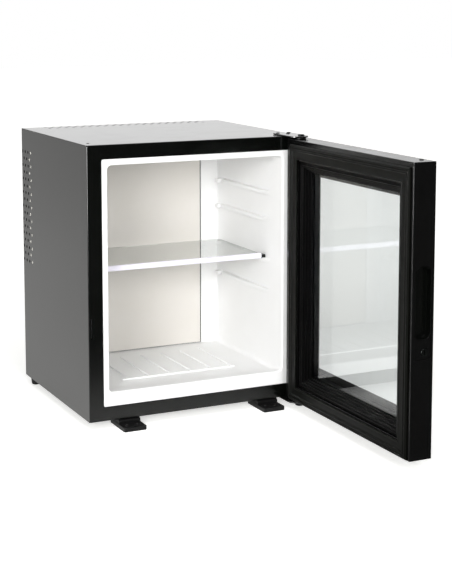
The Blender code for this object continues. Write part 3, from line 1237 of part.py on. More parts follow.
def make_lock():
    """The lock's turning disc and shaft, and the hooked cam on it, shown unlocked."""
    disc = LOCK_DISC_DIAMETER / 2
    shaft = LOCK_SHAFT_DIAMETER / 2
    end = LOCK_DISC_THICKNESS + LOCK_SHAFT_LENGTH
    barrel = turned("lock_barrel", [(0, end), (shaft, end), (shaft, LOCK_DISC_THICKNESS),
                                    (disc, LOCK_DISC_THICKNESS), (disc, LOCK_DISC_EDGE),
                                    (disc - LOCK_DISC_EDGE, 0), (0, 0)],
                    (LOCK_X, LOCK_Y, LOCK_Z), "X", LOCK)
    across = KEYHOLE_WIDTH / 2
    up = KEYHOLE_LENGTH / 2
    cut(barrel, block("keyhole", (LOCK_X - CUT_OVERRUN, LOCK_Y - across, LOCK_Z - up),
                      (LOCK_X + KEYHOLE_DEPTH, LOCK_Y + across, LOCK_Z + up), LOCK))
    finish(barrel, (0.6, 0.6, 0.6), 0.25, metallic=1.0)
    hub, arm, length = CAM_HUB, CAM_ARM_WIDTH / 2, CAM_LENGTH
    hook = arm + CAM_HOOK_RISE
    neck = length - CAM_HOOK_WIDTH
    waist = hub + CAM_WAIST
    corner = CAM_CORNER_RADIUS
    side_view = [(-hub, hub, CAM_HUB_RADIUS), (-hub, -hub, corner), (-arm, -waist, corner),
                 (-arm, -length, CAM_TIP_RADIUS), (hook, -length, corner),
                 (hook, -neck, CAM_HOOK_RADIUS), (arm, -neck, CAM_HOOK_RADIUS),
                 (arm, -waist, corner), (hub, -hub, corner), (hub, hub, CAM_HUB_RADIUS)]
    outline = rounded([(LOCK_Y + y, LOCK_Z + z, radius) for y, z, radius in side_view], steps=3)
    cam = prism("lock_cam", outline, "X", CAM_FRONT, CAM_FRONT + CAM_THICKNESS, LOCK)
    cut(cam, rods("cam_bore", [(LOCK_Y, LOCK_Z)], shaft + FIT_GAP, "X", CAM_FRONT - CUT_OVERRUN,
                  CAM_FRONT + CUT_OVERRUN, LOCK, sides=SMALL_ROUND_SIDES))
    finish(cam, (0.5, 0.5, 0.5), 0.35, metallic=1.0)


def make_lock_keeper():
    """The steel cup behind the front frame that the hook turns into."""
    left = CAM_FRONT - KEEPER_SIDE_GAP
    right = CAM_FRONT + CAM_THICKNESS + KEEPER_SIDE_GAP
    bottom = HOOK_ENTRY_Z - CAM_CLEARANCE
    top = LOCK_Z + CAM_ARM_WIDTH / 2 + CAM_HOOK_RISE + CAM_CLEARANCE
    back = LOCK_Y + CAM_LENGTH + CAM_CLEARANCE
    wall = KEEPER_WALL
    keeper = block("lock_keeper", (left - wall, PANEL_FRONT, bottom - wall),
                   (right + wall, back + wall, top + wall), CABINET)
    cut(keeper, block("keeper_hollow", (left, 0, bottom), (right, back, top), CABINET))
    finish(keeper, (0.5, 0.5, 0.5), 0.35, metallic=1.0)


def make_shelf():
    """The glass shelf, its white front trim and the black clip at its right end."""
    glass = block("shelf_glass", (SHELF_LEFT, SHELF_FRONT, SHELF_BOTTOM),
                  (SHELF_RIGHT, SHELF_BACK, SHELF_TOP), SHELF, bevel=SHELF_GLASS_EDGE)
    finish(glass, (0.75, 0.85, 0.8), 0.05, alpha=0.35)
    slot_back = SHELF_FRONT - FIT_GAP
    lip_bottom = SHELF_BOTTOM - FIT_GAP - TRIM_LIP
    under, over = SHELF_BOTTOM - FIT_GAP, SHELF_TOP + FIT_GAP
    front = SHELF_FRONT - TRIM_REACH
    back = SHELF_FRONT + TRIM_GRIP
    top = over + TRIM_TOP
    clip_left = SHELF_RIGHT - END_CLIP_WIDTH
    edge = TRIM_EDGE
    bar_back = front + TRIM_DEPTH
    side_view = [(front, lip_bottom + edge), (front + edge, lip_bottom), (back, lip_bottom),
                 (back, under), (slot_back, under), (slot_back, over), (bar_back, over),
                 (bar_back, top - edge), (bar_back - edge, top), (front + edge, top),
                 (front, top - edge)]
    trim = prism("shelf_front_trim", side_view, "X", SHELF_LEFT, clip_left - FIT_GAP, SHELF)
    rail = CAVITY_LEFT + RAIL_REACH + TRIM_RAIL_GAP
    notch_front, notch_back = front - CUT_OVERRUN, back + CUT_OVERRUN
    notch_bottom, notch_top = lip_bottom - CUT_OVERRUN, SHELF_BOTTOM - FIT_GAP / 4
    cut(trim, block("trim_notch", (CAVITY_LEFT, notch_front, notch_bottom),
                    (rail, notch_back, notch_top), SHELF))
    finish(trim, (0.85, 0.85, 0.85), 0.4)
    wide = END_CLIP_OVERLAP
    side_view = [(front - wide, lip_bottom), (back + wide, lip_bottom), (back + wide, under),
                 (slot_back, under), (slot_back, over), (back + wide, over),
                 (back + wide, top - END_CLIP_EDGE), (back - wide, top + wide),
                 (front, top + wide), (front - wide, top)]
    clip = prism("shelf_end_clip", side_view, "X", clip_left, SHELF_RIGHT, SHELF)
    rail = CAVITY_RIGHT - RAIL_REACH - TRIM_RAIL_GAP
    cut(clip, block("clip_notch", (rail, notch_front, notch_bottom),
                    (CAVITY_RIGHT, notch_back, notch_top), SHELF))
    finish(clip, (0.01, 0.01, 0.01), 0.5)


make_front_frame()
make_inner_liner()
make_insulation()
for side in ("left", "right"):
    make_side_panel(side)
    make_front_bracket(side)
    make_rear_foot(side)
make_top_panel()
make_base_panel()
make_back_cover()
make_cooling_unit()
make_control_box()
make_cable_gland()
make_hinges()
make_door_frame()
make_door_glass()
make_glass_trim()
make_door_gasket()
make_grip_cup()
make_door_plug()
make_lock()
make_lock_keeper()
make_shelf()
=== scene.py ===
"""Looks for the glass door minibar fridge, standing open on a pale floor."""

import math

import bmesh
import bpy
from mathutils import Matrix, Vector


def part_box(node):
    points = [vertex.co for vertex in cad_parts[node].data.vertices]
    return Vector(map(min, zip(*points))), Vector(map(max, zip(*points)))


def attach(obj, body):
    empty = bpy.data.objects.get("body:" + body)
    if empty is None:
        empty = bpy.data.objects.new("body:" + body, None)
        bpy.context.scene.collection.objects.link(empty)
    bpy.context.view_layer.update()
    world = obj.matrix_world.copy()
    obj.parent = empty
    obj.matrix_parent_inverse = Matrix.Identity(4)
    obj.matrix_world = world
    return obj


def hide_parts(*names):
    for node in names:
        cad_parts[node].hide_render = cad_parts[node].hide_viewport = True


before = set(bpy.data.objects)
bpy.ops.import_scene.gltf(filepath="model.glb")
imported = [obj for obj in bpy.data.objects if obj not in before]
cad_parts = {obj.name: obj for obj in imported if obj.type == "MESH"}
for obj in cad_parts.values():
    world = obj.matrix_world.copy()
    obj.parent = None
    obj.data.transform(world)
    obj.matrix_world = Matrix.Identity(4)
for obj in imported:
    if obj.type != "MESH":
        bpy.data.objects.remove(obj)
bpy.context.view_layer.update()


# The studio: a pale matt floor in a white room that is dark in front, a wide soft lamp overhead, two
# soft lamps ahead that are flagged off from reflections, and a low lamp at the left that only glints
# on edges. The camera stands ahead of the left corner.
CAMERA_PLACE = (-1.02325, -2.1965, 0.743)
CAMERA_YAW = math.radians(-25.75)
CAMERA_PITCH = math.radians(7.19)
CAMERA_LENS = 87.27
CAMERA_SHIFT = -0.20
FLOOR_HALF = 12.0
PAPER_WHITE = "#F4F4F2"
ROOM_LIGHT = 0.22
FLOOR_IN_MIRRORS = 0.4
# A Mix node's colour sockets share their names with its number sockets, so they go by place.
COLOUR_A, COLOUR_B, COLOUR_OUT = 6, 7, 2


def linear(colour):
    """An sRGB hex colour as linear RGBA."""
    channels = [int(colour[start:start + 2], 16) / 255 for start in (1, 3, 5)]
    return (*[c / 12.92 if c <= 0.04045 else ((c + 0.055) / 1.055) ** 2.4 for c in channels], 1.0)


def node(owner, kind, inputs=(), **settings):
    """Adds a node to a material or world, with its settings, values and links."""
    made = owner.node_tree.nodes.new("ShaderNode" + kind)
    for name, value in settings.items():
        setattr(made, name, value)
    for name, value in dict(inputs).items():
        if isinstance(value, bpy.types.NodeSocket):
            owner.node_tree.links.new(value, made.inputs[name])
        else:
            made.inputs[name].default_value = value
    return made


def new_finish(name, colour, roughness, sockets=()):
    """A material for one real finish, with the shader's own sockets set."""
    finish = bpy.data.materials.new(name)
    finish.use_nodes = True
    shader = finish.node_tree.nodes["Principled BSDF"]
    shader.inputs["Base Color"].default_value = linear(colour)
    shader.inputs["Roughness"].default_value = roughness
    for socket, value in dict(sockets).items():
        shader.inputs[socket].default_value = value
    return finish


def lamp(name, place, aim, size, power, mirrored=True, lighting=True):
    """A round soft lamp turned to a point, which may be kept out of mirrors or off matt surfaces."""
    light = bpy.data.lights.new(name, "AREA")
    light.shape = "DISK"
    light.size = size
    light.energy = power
    holder = bpy.data.objects.new(name, light)
    bpy.context.scene.collection.objects.link(holder)
    holder.location = place
    holder.rotation_euler = (Vector(aim) - Vector(place)).to_track_quat("-Z", "Y").to_euler()
    holder.visible_glossy = mirrored
    holder.visible_diffuse = lighting


def paint_room():
    """White to the camera and through glass, dim as light, and in mirrors dark ahead, dimmer beside."""
    room = bpy.data.worlds.new("white_room")
    bpy.context.scene.world = room
    room.use_nodes = True
    room.node_tree.nodes.clear()
    white = linear("#FFFFFF")
    rays = node(room, "LightPath")
    direction = node(room, "TexCoord")
    axes = node(room, "SeparateXYZ", {"Vector": direction.outputs["Generated"]})
    back = node(room, "MapRange", {"Value": axes.outputs["Y"], "From Min": -0.55, "From Max": 0.25,
                                   "To Min": 0.05, "To Max": 1.0}, interpolation_type="SMOOTHSTEP")
    left = node(room, "MapRange", {"Value": axes.outputs["X"], "From Min": -0.6, "From Max": 0.2,
                                   "To Min": 0.55, "To Max": 1.18}, interpolation_type="SMOOTHSTEP")
    right = node(room, "MapRange", {"Value": axes.outputs["X"], "From Min": 0.5, "From Max": 0.9,
                                    "To Min": 1.0, "To Max": 0.45}, interpolation_type="SMOOTHSTEP")
    sides = node(room, "Math", {0: left.outputs["Result"], 1: right.outputs["Result"]},
                 operation="MULTIPLY")
    cards = node(room, "Math", {0: back.outputs["Result"], 1: sides.outputs[0]}, operation="MULTIPLY")
    lit = node(room, "Background", {"Color": white, "Strength": ROOM_LIGHT})
    mirrored = node(room, "Background", {"Color": white, "Strength": cards.outputs[0]})
    seen = node(room, "Background", {"Color": white, "Strength": 1.0})
    gloss = node(room, "MixShader", {0: rays.outputs["Is Glossy Ray"], 1: lit.outputs[0],
                                     2: mirrored.outputs[0]})
    direct = node(room, "Math", {0: rays.outputs["Is Camera Ray"],
                                 1: rays.outputs["Is Transmission Ray"]}, operation="MAXIMUM")
    mixed = node(room, "MixShader", {0: direct.outputs[0], 1: gloss.outputs[0], 2: seen.outputs[0]})
    node(room, "OutputWorld", {"Surface": mixed.outputs[0]})


def lay_floor():
    """Paper that glows whiter away from the object's shadow, and in mirrors is dark ahead of it."""
    shape = bmesh.new()
    bmesh.ops.create_grid(shape, x_segments=1, y_segments=1, size=FLOOR_HALF)
    mesh = bpy.data.meshes.new("floor")
    shape.to_mesh(mesh)
    shape.free()
    floor = bpy.data.objects.new("floor", mesh)
    bpy.context.scene.collection.objects.link(floor)
    paper = new_finish("matt_white_paper", PAPER_WHITE, 0.9, {"Specular IOR Level": 0.1})
    rays = node(paper, "LightPath")
    places = node(paper, "TexCoord")
    away = node(paper, "VectorMath", {0: places.outputs["Object"]}, operation="LENGTH")
    lift = node(paper, "MapRange", {"Value": away.outputs["Value"], "From Min": 0.4, "From Max": 2.0,
                                    "To Min": 0.62, "To Max": 1.0}, interpolation_type="SMOOTHSTEP")
    direct = node(paper, "Math", {0: rays.outputs["Is Camera Ray"],
                                  1: rays.outputs["Is Transmission Ray"]}, operation="MAXIMUM")
    # A ray through clear glass counts as glossy too, so it is taken away from the mirrored ones.
    mirrored = node(paper, "Math", {0: rays.outputs["Is Glossy Ray"],
                                    1: rays.outputs["Is Transmission Ray"]}, operation="SUBTRACT",
                    use_clamp=True)
    shown = node(paper, "Math", {0: mirrored.outputs[0], 1: FLOOR_IN_MIRRORS, 2: direct.outputs[0]},
                 operation="MULTIPLY_ADD")
    seen = node(paper, "Math", {0: shown.outputs[0], 1: lift.outputs["Result"]},
                operation="MULTIPLY")
    axes = node(paper, "SeparateXYZ", {"Vector": places.outputs["Object"]})
    ahead = node(paper, "MapRange", {"Value": axes.outputs["Y"], "From Min": 0.1, "From Max": -0.5,
                                     "To Min": 0.0, "To Max": 0.96}, interpolation_type="SMOOTHSTEP")
    flagged = node(paper, "Math", {0: ahead.outputs["Result"], 1: mirrored.outputs[0]},
                   operation="MULTIPLY")
    tone = node(paper, "Mix", {"Factor": flagged.outputs[0], COLOUR_A: linear(PAPER_WHITE),
                               COLOUR_B: linear("#000000")}, data_type="RGBA")
    shader = paper.node_tree.nodes["Principled BSDF"]
    for socket in ("Base Color", "Emission Color"):
        paper.node_tree.links.new(tone.outputs[COLOUR_OUT], shader.inputs[socket])
    paper.node_tree.links.new(seen.outputs[0], shader.inputs["Emission Strength"])
    mesh.materials.append(paper)


def place_camera():
    """The photograph's viewing angle, framed with a small shift."""
    data = bpy.data.cameras.new("photo_camera")
    data.lens = CAMERA_LENS
    data.shift_y = CAMERA_SHIFT
    camera = bpy.data.objects.new("photo_camera", data)
    bpy.context.scene.collection.objects.link(camera)
    camera.location = CAMERA_PLACE
    camera.rotation_euler = (math.pi / 2 - CAMERA_PITCH, 0, CAMERA_YAW)
    bpy.context.scene.camera = camera


bpy.context.scene.view_settings.view_transform = "Standard"
paint_room()
lamp("overhead_softbox", (-0.5, -1.0, 2.4), (0, 0, 0.25), size=2.2, power=20)
lamp("left_softbox", (-2.0, -2.2, 1.0), (0.05, 0.1, 0.28), size=1.2, power=66, mirrored=False)
lamp("front_softbox", (-0.3, -3.0, 1.1), (-0.05, 0.1, 0.28), size=1.4, power=44, mirrored=False)
lamp("edge_glint", (-1.33, -0.42, 0.44), (-0.2, 0.0, 0.4), size=0.6, power=30, lighting=False)
lay_floor()
place_camera()


# The cabinet's outer sheets: 1 mm steel, punched, folded and powder coated satin black. The top
# lies over both sides, and each side turns in along the back, where its vents are punched.
# Every piece is drawn in millimetres from the cabinet's front left bottom corner, door shut.
MM = 0.001
IN_CABINET = Matrix.Translation(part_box("front_frame")[0]) @ Matrix.Scale(MM, 4)
WIDTH, DEPTH, HEIGHT = 412, 358, 480
SIDES = (("left", 0, 1), ("right", WIDTH, -1))
SHEET = 1.0
SEAM = 0.3
PANEL_FRONT = 2.3
PANEL_BACK = DEPTH - SHEET - SEAM
BACK_RETURN = 14
VENT_RADIUS = 3
VENT_PITCH, VENT_ROW_PITCH = 16, 13
VENT_BACK_INSET, SIDE_VENT_TOP_INSET = 6, 43
SIDE_VENT_ROWS, SIDE_VENTS_A_ROW = 17, 4
TOP_VENT_ROWS, TOP_VENTS_A_ROW = 3, 21
CLOUD_SIZE = 40
# Places on an upright plane are (X, Z), seen along Y, and those on a sideways plane are (Y, Z).
UPRIGHT = Matrix(((1, 0, 0, 0), (0, 0, 1, 0), (0, 1, 0, 0), (0, 0, 0, 1)))
SIDEWAYS = Matrix(((0, 0, 1, 0), (1, 0, 0, 0), (0, 1, 0, 0), (0, 0, 0, 1)))
LEVEL = Matrix.Identity(4)


def grain(finish, size, height, smooth, rough, tints=(), detail=2.0):
    """Gives a finish its surface: grains of a real size in millimetres, raised and of varied gloss."""
    shader = finish.node_tree.nodes["Principled BSDF"]
    places = node(finish, "TexCoord")
    speck = node(finish, "TexNoise", {"Vector": places.outputs["Object"], "Scale": 1 / (size * MM),
                                      "Detail": detail})
    cloud = node(finish, "TexNoise", {"Vector": places.outputs["Object"],
                                      "Scale": 1 / (CLOUD_SIZE * MM), "Detail": 3.0})
    gloss = node(finish, "MapRange", {"Value": cloud.outputs["Fac"], "From Min": 0.35, "From Max": 0.65,
                                      "To Min": smooth, "To Max": rough})
    raised = node(finish, "Bump", {"Height": speck.outputs["Fac"], "Distance": height * MM,
                                   "Strength": 1.0})
    finish.node_tree.links.new(gloss.outputs["Result"], shader.inputs["Roughness"])
    finish.node_tree.links.new(raised.outputs["Normal"], shader.inputs["Normal"])
    if tints:
        shade = node(finish, "Mix", {"Factor": cloud.outputs["Fac"], COLOUR_A: linear(tints[0]),
                                     COLOUR_B: linear(tints[1])}, data_type="RGBA")
        finish.node_tree.links.new(shade.outputs[COLOUR_OUT], shader.inputs["Base Color"])
    return finish


def set_piece(name, shape, finish, body, stands_for=(), place=IN_CABINET, crease=35):
    """Ends a piece: puts its mesh in its place, gives it its finish and mounts it on its body."""
    bmesh.ops.remove_doubles(shape, verts=shape.verts, dist=0.0005)
    bmesh.ops.transform(shape, matrix=place, verts=shape.verts)
    bmesh.ops.recalc_face_normals(shape, faces=shape.faces)
    mesh = bpy.data.meshes.new(name)
    shape.to_mesh(mesh)
    shape.free()
    mesh.shade_smooth()
    mesh.set_sharp_from_angle(angle=math.radians(crease))
    mesh.materials.append(finish)
    piece = bpy.data.objects.new(name, mesh)
    bpy.context.scene.collection.objects.link(piece)
    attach(piece, body)
    if stands_for:
        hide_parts(*stands_for)
    level = piece.modifiers.new("flat_faces_stay_flat", "WEIGHTED_NORMAL")
    level.keep_sharp = True


def flat_rim(shape, low, high, radius, place, steps=4):
    """A closed loop of edges round a rectangle with rounded corners."""
    middle = ((low[0] + high[0]) / 2, (low[1] + high[1]) / 2, 0)
    size = Matrix.Diagonal((high[0] - low[0], high[1] - low[1], 1, 1))
    corners = bmesh.ops.create_grid(shape, x_segments=1, y_segments=1, size=0.5,
                                    matrix=place @ Matrix.Translation(middle) @ size)["verts"]
    if radius:
        corners = bmesh.ops.bevel(shape, geom=corners, offset=radius, segments=steps, profile=0.5,
                                  affect="VERTICES", material=-1)["verts"]
    face = corners[0].link_faces[0]
    rim = list(face.edges)
    shape.faces.remove(face)
    return rim


def punched_sheet(low, high, vents, place, slots=()):
    """A flat sheet with round vents, given by centre, and round-ended slots, given by two corners."""
    shape = bmesh.new()
    flat_rim(shape, low, high, 0, place)
    for across, up in vents:
        bmesh.ops.create_circle(shape, segments=20, radius=VENT_RADIUS,
                                matrix=place @ Matrix.Translation((across, up, 0)))
    for slot_low, slot_high in slots:
        end = min(slot_high[0] - slot_low[0], slot_high[1] - slot_low[1]) / 2 - 0.05
        flat_rim(shape, slot_low, slot_high, end, place)
    bmesh.ops.triangle_fill(shape, use_beauty=True, use_dissolve=False, edges=shape.edges)
    return shape


def shift(shape, made, step):
    """Moves the vertices among what an operator made."""
    bmesh.ops.translate(shape, vec=step, verts=[v for v in made if isinstance(v, bmesh.types.BMVert)])


def fold(shape, axis, value, step, radius=1.2):
    """Turns the sheet's free edge at a coordinate over by a step, with a bend radius."""
    edge = [e for e in shape.edges
            if e.is_boundary and all(abs(v.co[axis] - value) < 0.01 for v in e.verts)]
    shift(shape, bmesh.ops.extrude_edge_only(shape, edges=edge)["geom"], step)
    bmesh.ops.bevel(shape, geom=edge, offset=radius, segments=3, profile=0.5, affect="EDGES",
                    material=-1)


def thicken(shape, thickness, inward):
    """Gives a sheet its thickness on the side that a direction points to."""
    for face in shape.faces:
        face.normal_update()
    ahead = sum((face.normal * face.calc_area() for face in shape.faces), Vector()).dot(inward)
    if ahead > 0:
        bmesh.ops.reverse_faces(shape, faces=shape.faces)
    bmesh.ops.solidify(shape, geom=shape.faces, thickness=thickness)


def bar(low, high, radius=0.0, segments=2, shape=None):
    """A block between two corners, with rounded edges."""
    shape = shape or bmesh.new()
    low, high = Vector(low), Vector(high)
    size = Matrix.Diagonal((*(high - low), 1))
    made = bmesh.ops.create_cube(shape, size=1, matrix=Matrix.Translation((low + high) / 2) @ size)["verts"]
    if radius:
        edges = {edge for vert in made for edge in vert.link_edges}
        bmesh.ops.bevel(shape, geom=list(edges), offset=radius, segments=segments, profile=0.5,
                        affect="EDGES", material=-1)
    return shape


def carved(shape, tool, operation="DIFFERENCE"):
    """A closed shape with another cut from it, or joined to it."""
    solids = []
    for part in (shape, tool):
        bmesh.ops.recalc_face_normals(part, faces=part.faces)
        mesh = bpy.data.meshes.new("carving")
        part.to_mesh(mesh)
        part.free()
        solids.append(bpy.data.objects.new("carving", mesh))
        bpy.context.scene.collection.objects.link(solids[-1])
    step = solids[0].modifiers.new("carve", "BOOLEAN")
    step.operation, step.solver, step.object = operation, "EXACT", solids[1]
    result = bmesh.new()
    result.from_object(solids[0], bpy.context.evaluated_depsgraph_get())
    for solid in solids:
        mesh = solid.data
        bpy.data.objects.remove(solid)
        bpy.data.meshes.remove(mesh)
    return result


# The oven melts the powder to an even satin film, with a faint orange peel 2.5 mm across.
powder_coat = grain(new_finish("satin_black_powder_coat", "#151516", 0.14, {"Specular IOR Level": 0.62}),
                    size=2.5, height=0.002, smooth=0.135, rough=0.15, tints=("#151515", "#181817"))
SIDE_VENTS = [(DEPTH - VENT_BACK_INSET - VENT_PITCH * (column + row % 2 / 2),
               HEIGHT - SIDE_VENT_TOP_INSET - VENT_ROW_PITCH * row)
              for row in range(SIDE_VENT_ROWS) for column in range(SIDE_VENTS_A_ROW - row % 2)]
for side, outer, inward in SIDES:
    panel = punched_sheet((PANEL_FRONT, 0), (PANEL_BACK, HEIGHT - SHEET - SEAM), SIDE_VENTS,
                          Matrix.Translation((outer, 0, 0)) @ SIDEWAYS)
    fold(panel, 1, PANEL_BACK, (inward * BACK_RETURN, 0, 0))
    thicken(panel, SHEET, Vector((inward, 0, 0)))
    set_piece("outer_sheet_" + side, panel, powder_coat, "cabinet", ["side_panel_" + side])

TOP_VENTS = [(WIDTH / 2 + VENT_PITCH * (column - (TOP_VENTS_A_ROW - 1 - row % 2) / 2),
              DEPTH - VENT_BACK_INSET - VENT_ROW_PITCH * row)
             for row in range(TOP_VENT_ROWS) for column in range(TOP_VENTS_A_ROW - row % 2)]
top = punched_sheet((0, PANEL_FRONT), (WIDTH, PANEL_BACK), TOP_VENTS, Matrix.Translation((0, 0, HEIGHT)))
thicken(top, SHEET, Vector((0, 0, -1)))
top_return = bar((BACK_RETURN + SEAM, PANEL_BACK - SHEET, HEIGHT - BACK_RETURN),
                 (WIDTH - BACK_RETURN - SEAM, PANEL_BACK, HEIGHT - SHEET / 2))
top = carved(top, top_return, "UNION")
set_piece("outer_sheet_top", top, powder_coat, "cabinet", ["top_panel"])


# The foam that shows in the side vents: white polyurethane, poured in place between the sheets and
# the liner, so it swells a little into the vents that lie ahead of its back face.
FOAM_BACK = 316
SWELL_RADIUS = 2.9
SWELL_DEPTHS = (0.35, 1.25)


def rod(centre, radius, start, end, place, shape=None, sides=24):
    """A round bar about a centre in a plane, from start to end along the plane's normal."""
    shape = shape or bmesh.new()
    bmesh.ops.create_cone(shape, cap_ends=True, segments=sides, radius1=radius, radius2=radius,
                          depth=end - start,
                          matrix=place @ Matrix.Translation((*centre, (start + end) / 2)))
    return shape


# Foam that sets in the open has a dull, pitted skin, a little yellow beside the white plastics.
white_foam = grain(new_finish("rigid_polyurethane_foam", "#F3F1E8", 0.9), size=1.2, height=0.25,
                   smooth=0.85, rough=0.95, tints=("#EFECE0", "#F7F5EE"))
for side, outer, inward in SIDES:
    swells = bmesh.new()
    start, end = sorted(outer + inward * depth for depth in SWELL_DEPTHS)
    for back, up in SIDE_VENTS:
        if back < FOAM_BACK:
            rod((back, up), SWELL_RADIUS, start, end, SIDEWAYS, shape=swells, sides=16)
    set_piece("foam_at_vents_" + side, swells, white_foam, "cabinet")


# The back and the base: flat sheets in the same coat. The back is punched with a round grille over
# the fan and a row of intake slots, and eight sunk screws hold it to the folded edges.
FRONT_LOW, FRONT_HIGH = (0, 0), (WIDTH, HEIGHT)
BACK_MARGIN = 0.5
FAN_CENTRE = (206, 330)
GRILLE_RADIUS, GRILLE_PITCH, SLOT_WIDTH = 46, 8, 4.5
INTAKE_LOW, INTAKE_HIGH = 100, 130
GLAND_CENTRE = (330, 40)
GLAND_HOLE, SCREW_HOLE, SCREW_SINK = 7.3, 3.7, 0.95
BACK_SCREWS = [(x, z) for x in (7.5, 404.5) for z in (12, 165, 318, 468)]


def dress(cad_node, finish):
    """Gives a CAD solid that keeps its own shape the finish of the real piece."""
    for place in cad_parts[cad_node].material_slots:
        place.material = finish


def inset(low, high, by):
    """A rectangle's two corners, drawn in by a margin, or spread by a negative one."""
    return (low[0] + by, low[1] + by), (high[0] - by, high[1] - by)


def turned(profile, centre=(0, 0), place=LEVEL, shape=None, steps=32):
    """A shape turned from a (radius, height) profile about a centre in a plane."""
    shape = shape or bmesh.new()
    verts = [shape.verts.new((radius, 0, height)) for radius, height in profile]
    edges = [shape.edges.new(pair) for pair in zip(verts, verts[1:])]
    if profile[0][0] > 0:
        edges.append(shape.edges.new((verts[-1], verts[0])))
    before = set(shape.verts) - set(verts)
    bmesh.ops.spin(shape, geom=verts + edges, axis=(0, 0, 1), cent=(0, 0, 0), angle=math.tau,
                   steps=steps, use_merge=True)
    made = [vert for vert in shape.verts if vert not in before]
    bmesh.ops.remove_doubles(shape, verts=made, dist=0.001)
    made = [vert for vert in shape.verts if vert not in before]
    bmesh.ops.transform(shape, matrix=place @ Matrix.Translation((*centre, 0)), verts=made)
    return shape


def screws(centres, radius, height, place):
    """Cross-recessed pan heads on a plane."""
    heads = bmesh.new()
    for centre in centres:
        turned([(0, height), (0.6 * radius, height), (0.93 * radius, 0.6 * height),
                (radius, 0.2 * height), (radius, 0), (0, 0)], centre, shape=heads, steps=20)
    for across, up in ((0.55, 0.13), (0.13, 0.55)):
        recesses = bmesh.new()
        for x, y in centres:
            bar((x - across * radius, y - up * radius, 0.4 * height),
                (x + across * radius, y + up * radius, 2 * height), shape=recesses)
        heads = carved(heads, recesses)
    bmesh.ops.transform(heads, matrix=place, verts=heads.verts)
    return heads


stripes = []
for count in range(-5, 6):
    half = math.sqrt(GRILLE_RADIUS ** 2 - (GRILLE_PITCH * count) ** 2)
    stripes.append((GRILLE_PITCH * count, FAN_CENTRE[1] - half, FAN_CENTRE[1] + half))
stripes += [(2 * GRILLE_PITCH * count, INTAKE_LOW, INTAKE_HIGH) for count in range(-4, 5)]
slots = [((FAN_CENTRE[0] + across - SLOT_WIDTH / 2, low), (FAN_CENTRE[0] + across + SLOT_WIDTH / 2, high))
         for across, low, high in stripes]
slots.append(inset(GLAND_CENTRE, GLAND_CENTRE, -GLAND_HOLE))
slots += [inset(centre, centre, -SCREW_HOLE) for centre in BACK_SCREWS]
ON_BACK = Matrix.Translation((0, DEPTH, 0)) @ UPRIGHT
back = punched_sheet(*inset(FRONT_LOW, FRONT_HIGH, BACK_MARGIN), (), ON_BACK, slots)
thicken(back, SHEET, Vector((0, -1, 0)))
set_piece("rear_sheet", back, powder_coat, "cabinet", ["back_cover"])
dress("base_panel", powder_coat)
# The zinc plating still shines dully through its black passivation.
black_zinc = grain(new_finish("black_passivated_zinc", "#1A1A1B", 0.35, {"Metallic": 0.8}), size=1.5,
                   height=0.003, smooth=0.3, rough=0.42)
sunk = Matrix.Translation((0, -SCREW_SINK, 0)) @ ON_BACK
set_piece("rear_screws", screws(BACK_SCREWS, 3.5, 0.9, sunk), black_zinc, "cabinet")


# The facia round the opening: one injection moulding in black ABS with a soft front edge and a
# skirt that grips inside the outer sheets. A slot near its left edge takes the lock's hook.
OPENING_LOW, OPENING_HIGH = (26.5, 25), (WIDTH - 26.5, HEIGHT - 25)
FACIA_ROUND, FACIA_CORNER, FACIA_WALL = 1.7, 2.5, 2
SKIRT = [(1.3, FACIA_WALL), (1.3, 8), (2.7, 8), (2.7, FACIA_WALL)]
HOOK_SLOT_LOW, HOOK_SLOT_HIGH = (3.8, -6, 148.2), (6.6, 12, 182.5)


def wall_ring(rims):
    """A closed ring of walls from one upright rim to the next, each (low, high, radius, depth)."""
    shape = bmesh.new()
    for pair in zip(rims, rims[1:] + rims[:1]):
        loops = [flat_rim(shape, low, high, radius, Matrix.Translation((0, depth, 0)) @ UPRIGHT)
                 for low, high, radius, depth in pair]
        bmesh.ops.bridge_loops(shape, edges=loops[0] + loops[1])
    bmesh.ops.remove_doubles(shape, verts=shape.verts, dist=0.001)
    return shape


def quarter_round(radius):
    """The steps of a rounded edge, each (how far it still has to spread, how deep it lies)."""
    turns = [math.radians(turn) for turn in (0, 22.5, 45, 67.5, 90)]
    return [(radius * (1 - math.sin(turn)), radius * (1 - math.cos(turn))) for turn in turns]


def soften(shape, radius, segments=2, angle=40, test=None):
    """Rounds the edges whose faces meet at more than an angle, and whose both ends pass a test."""
    bmesh.ops.recalc_face_normals(shape, faces=shape.faces)
    edges = [e for e in shape.edges if e.is_manifold and e.calc_face_angle(0) > math.radians(angle)
             and (test is None or all(test(v.co) for v in e.verts))]
    bmesh.ops.bevel(shape, geom=edges, offset=radius, segments=segments, profile=0.5, affect="EDGES",
                    clamp_overlap=True, material=-1)


facia_rims = [(*inset(FRONT_LOW, FRONT_HIGH, by), FACIA_CORNER - by, depth)
              for by, depth in quarter_round(FACIA_ROUND)]
facia_rims.append((FRONT_LOW, FRONT_HIGH, FACIA_CORNER, FACIA_WALL))
facia_rims += [(*inset(FRONT_LOW, FRONT_HIGH, by), 0.5, depth) for by, depth in SKIRT]
facia_rims += [(OPENING_LOW, OPENING_HIGH, 3, FACIA_WALL), (OPENING_LOW, OPENING_HIGH, 3, 0)]
facia = wall_ring(facia_rims)
soften(facia, 0.9, 3, test=lambda c: c.y < 0.01)
facia = carved(facia, bar(HOOK_SLOT_LOW, HOOK_SLOT_HIGH))
# ABS from a polished mould is deep black and glossy, and waves a little every 7 mm or so.
gloss_black = grain(new_finish("polished_black_abs", "#050605", 0.2), size=7, height=0.002, smooth=0.15,
                    rough=0.22, tints=("#040504", "#070807"))
set_piece("facia", facia, gloss_black, "cabinet", ["front_frame"])


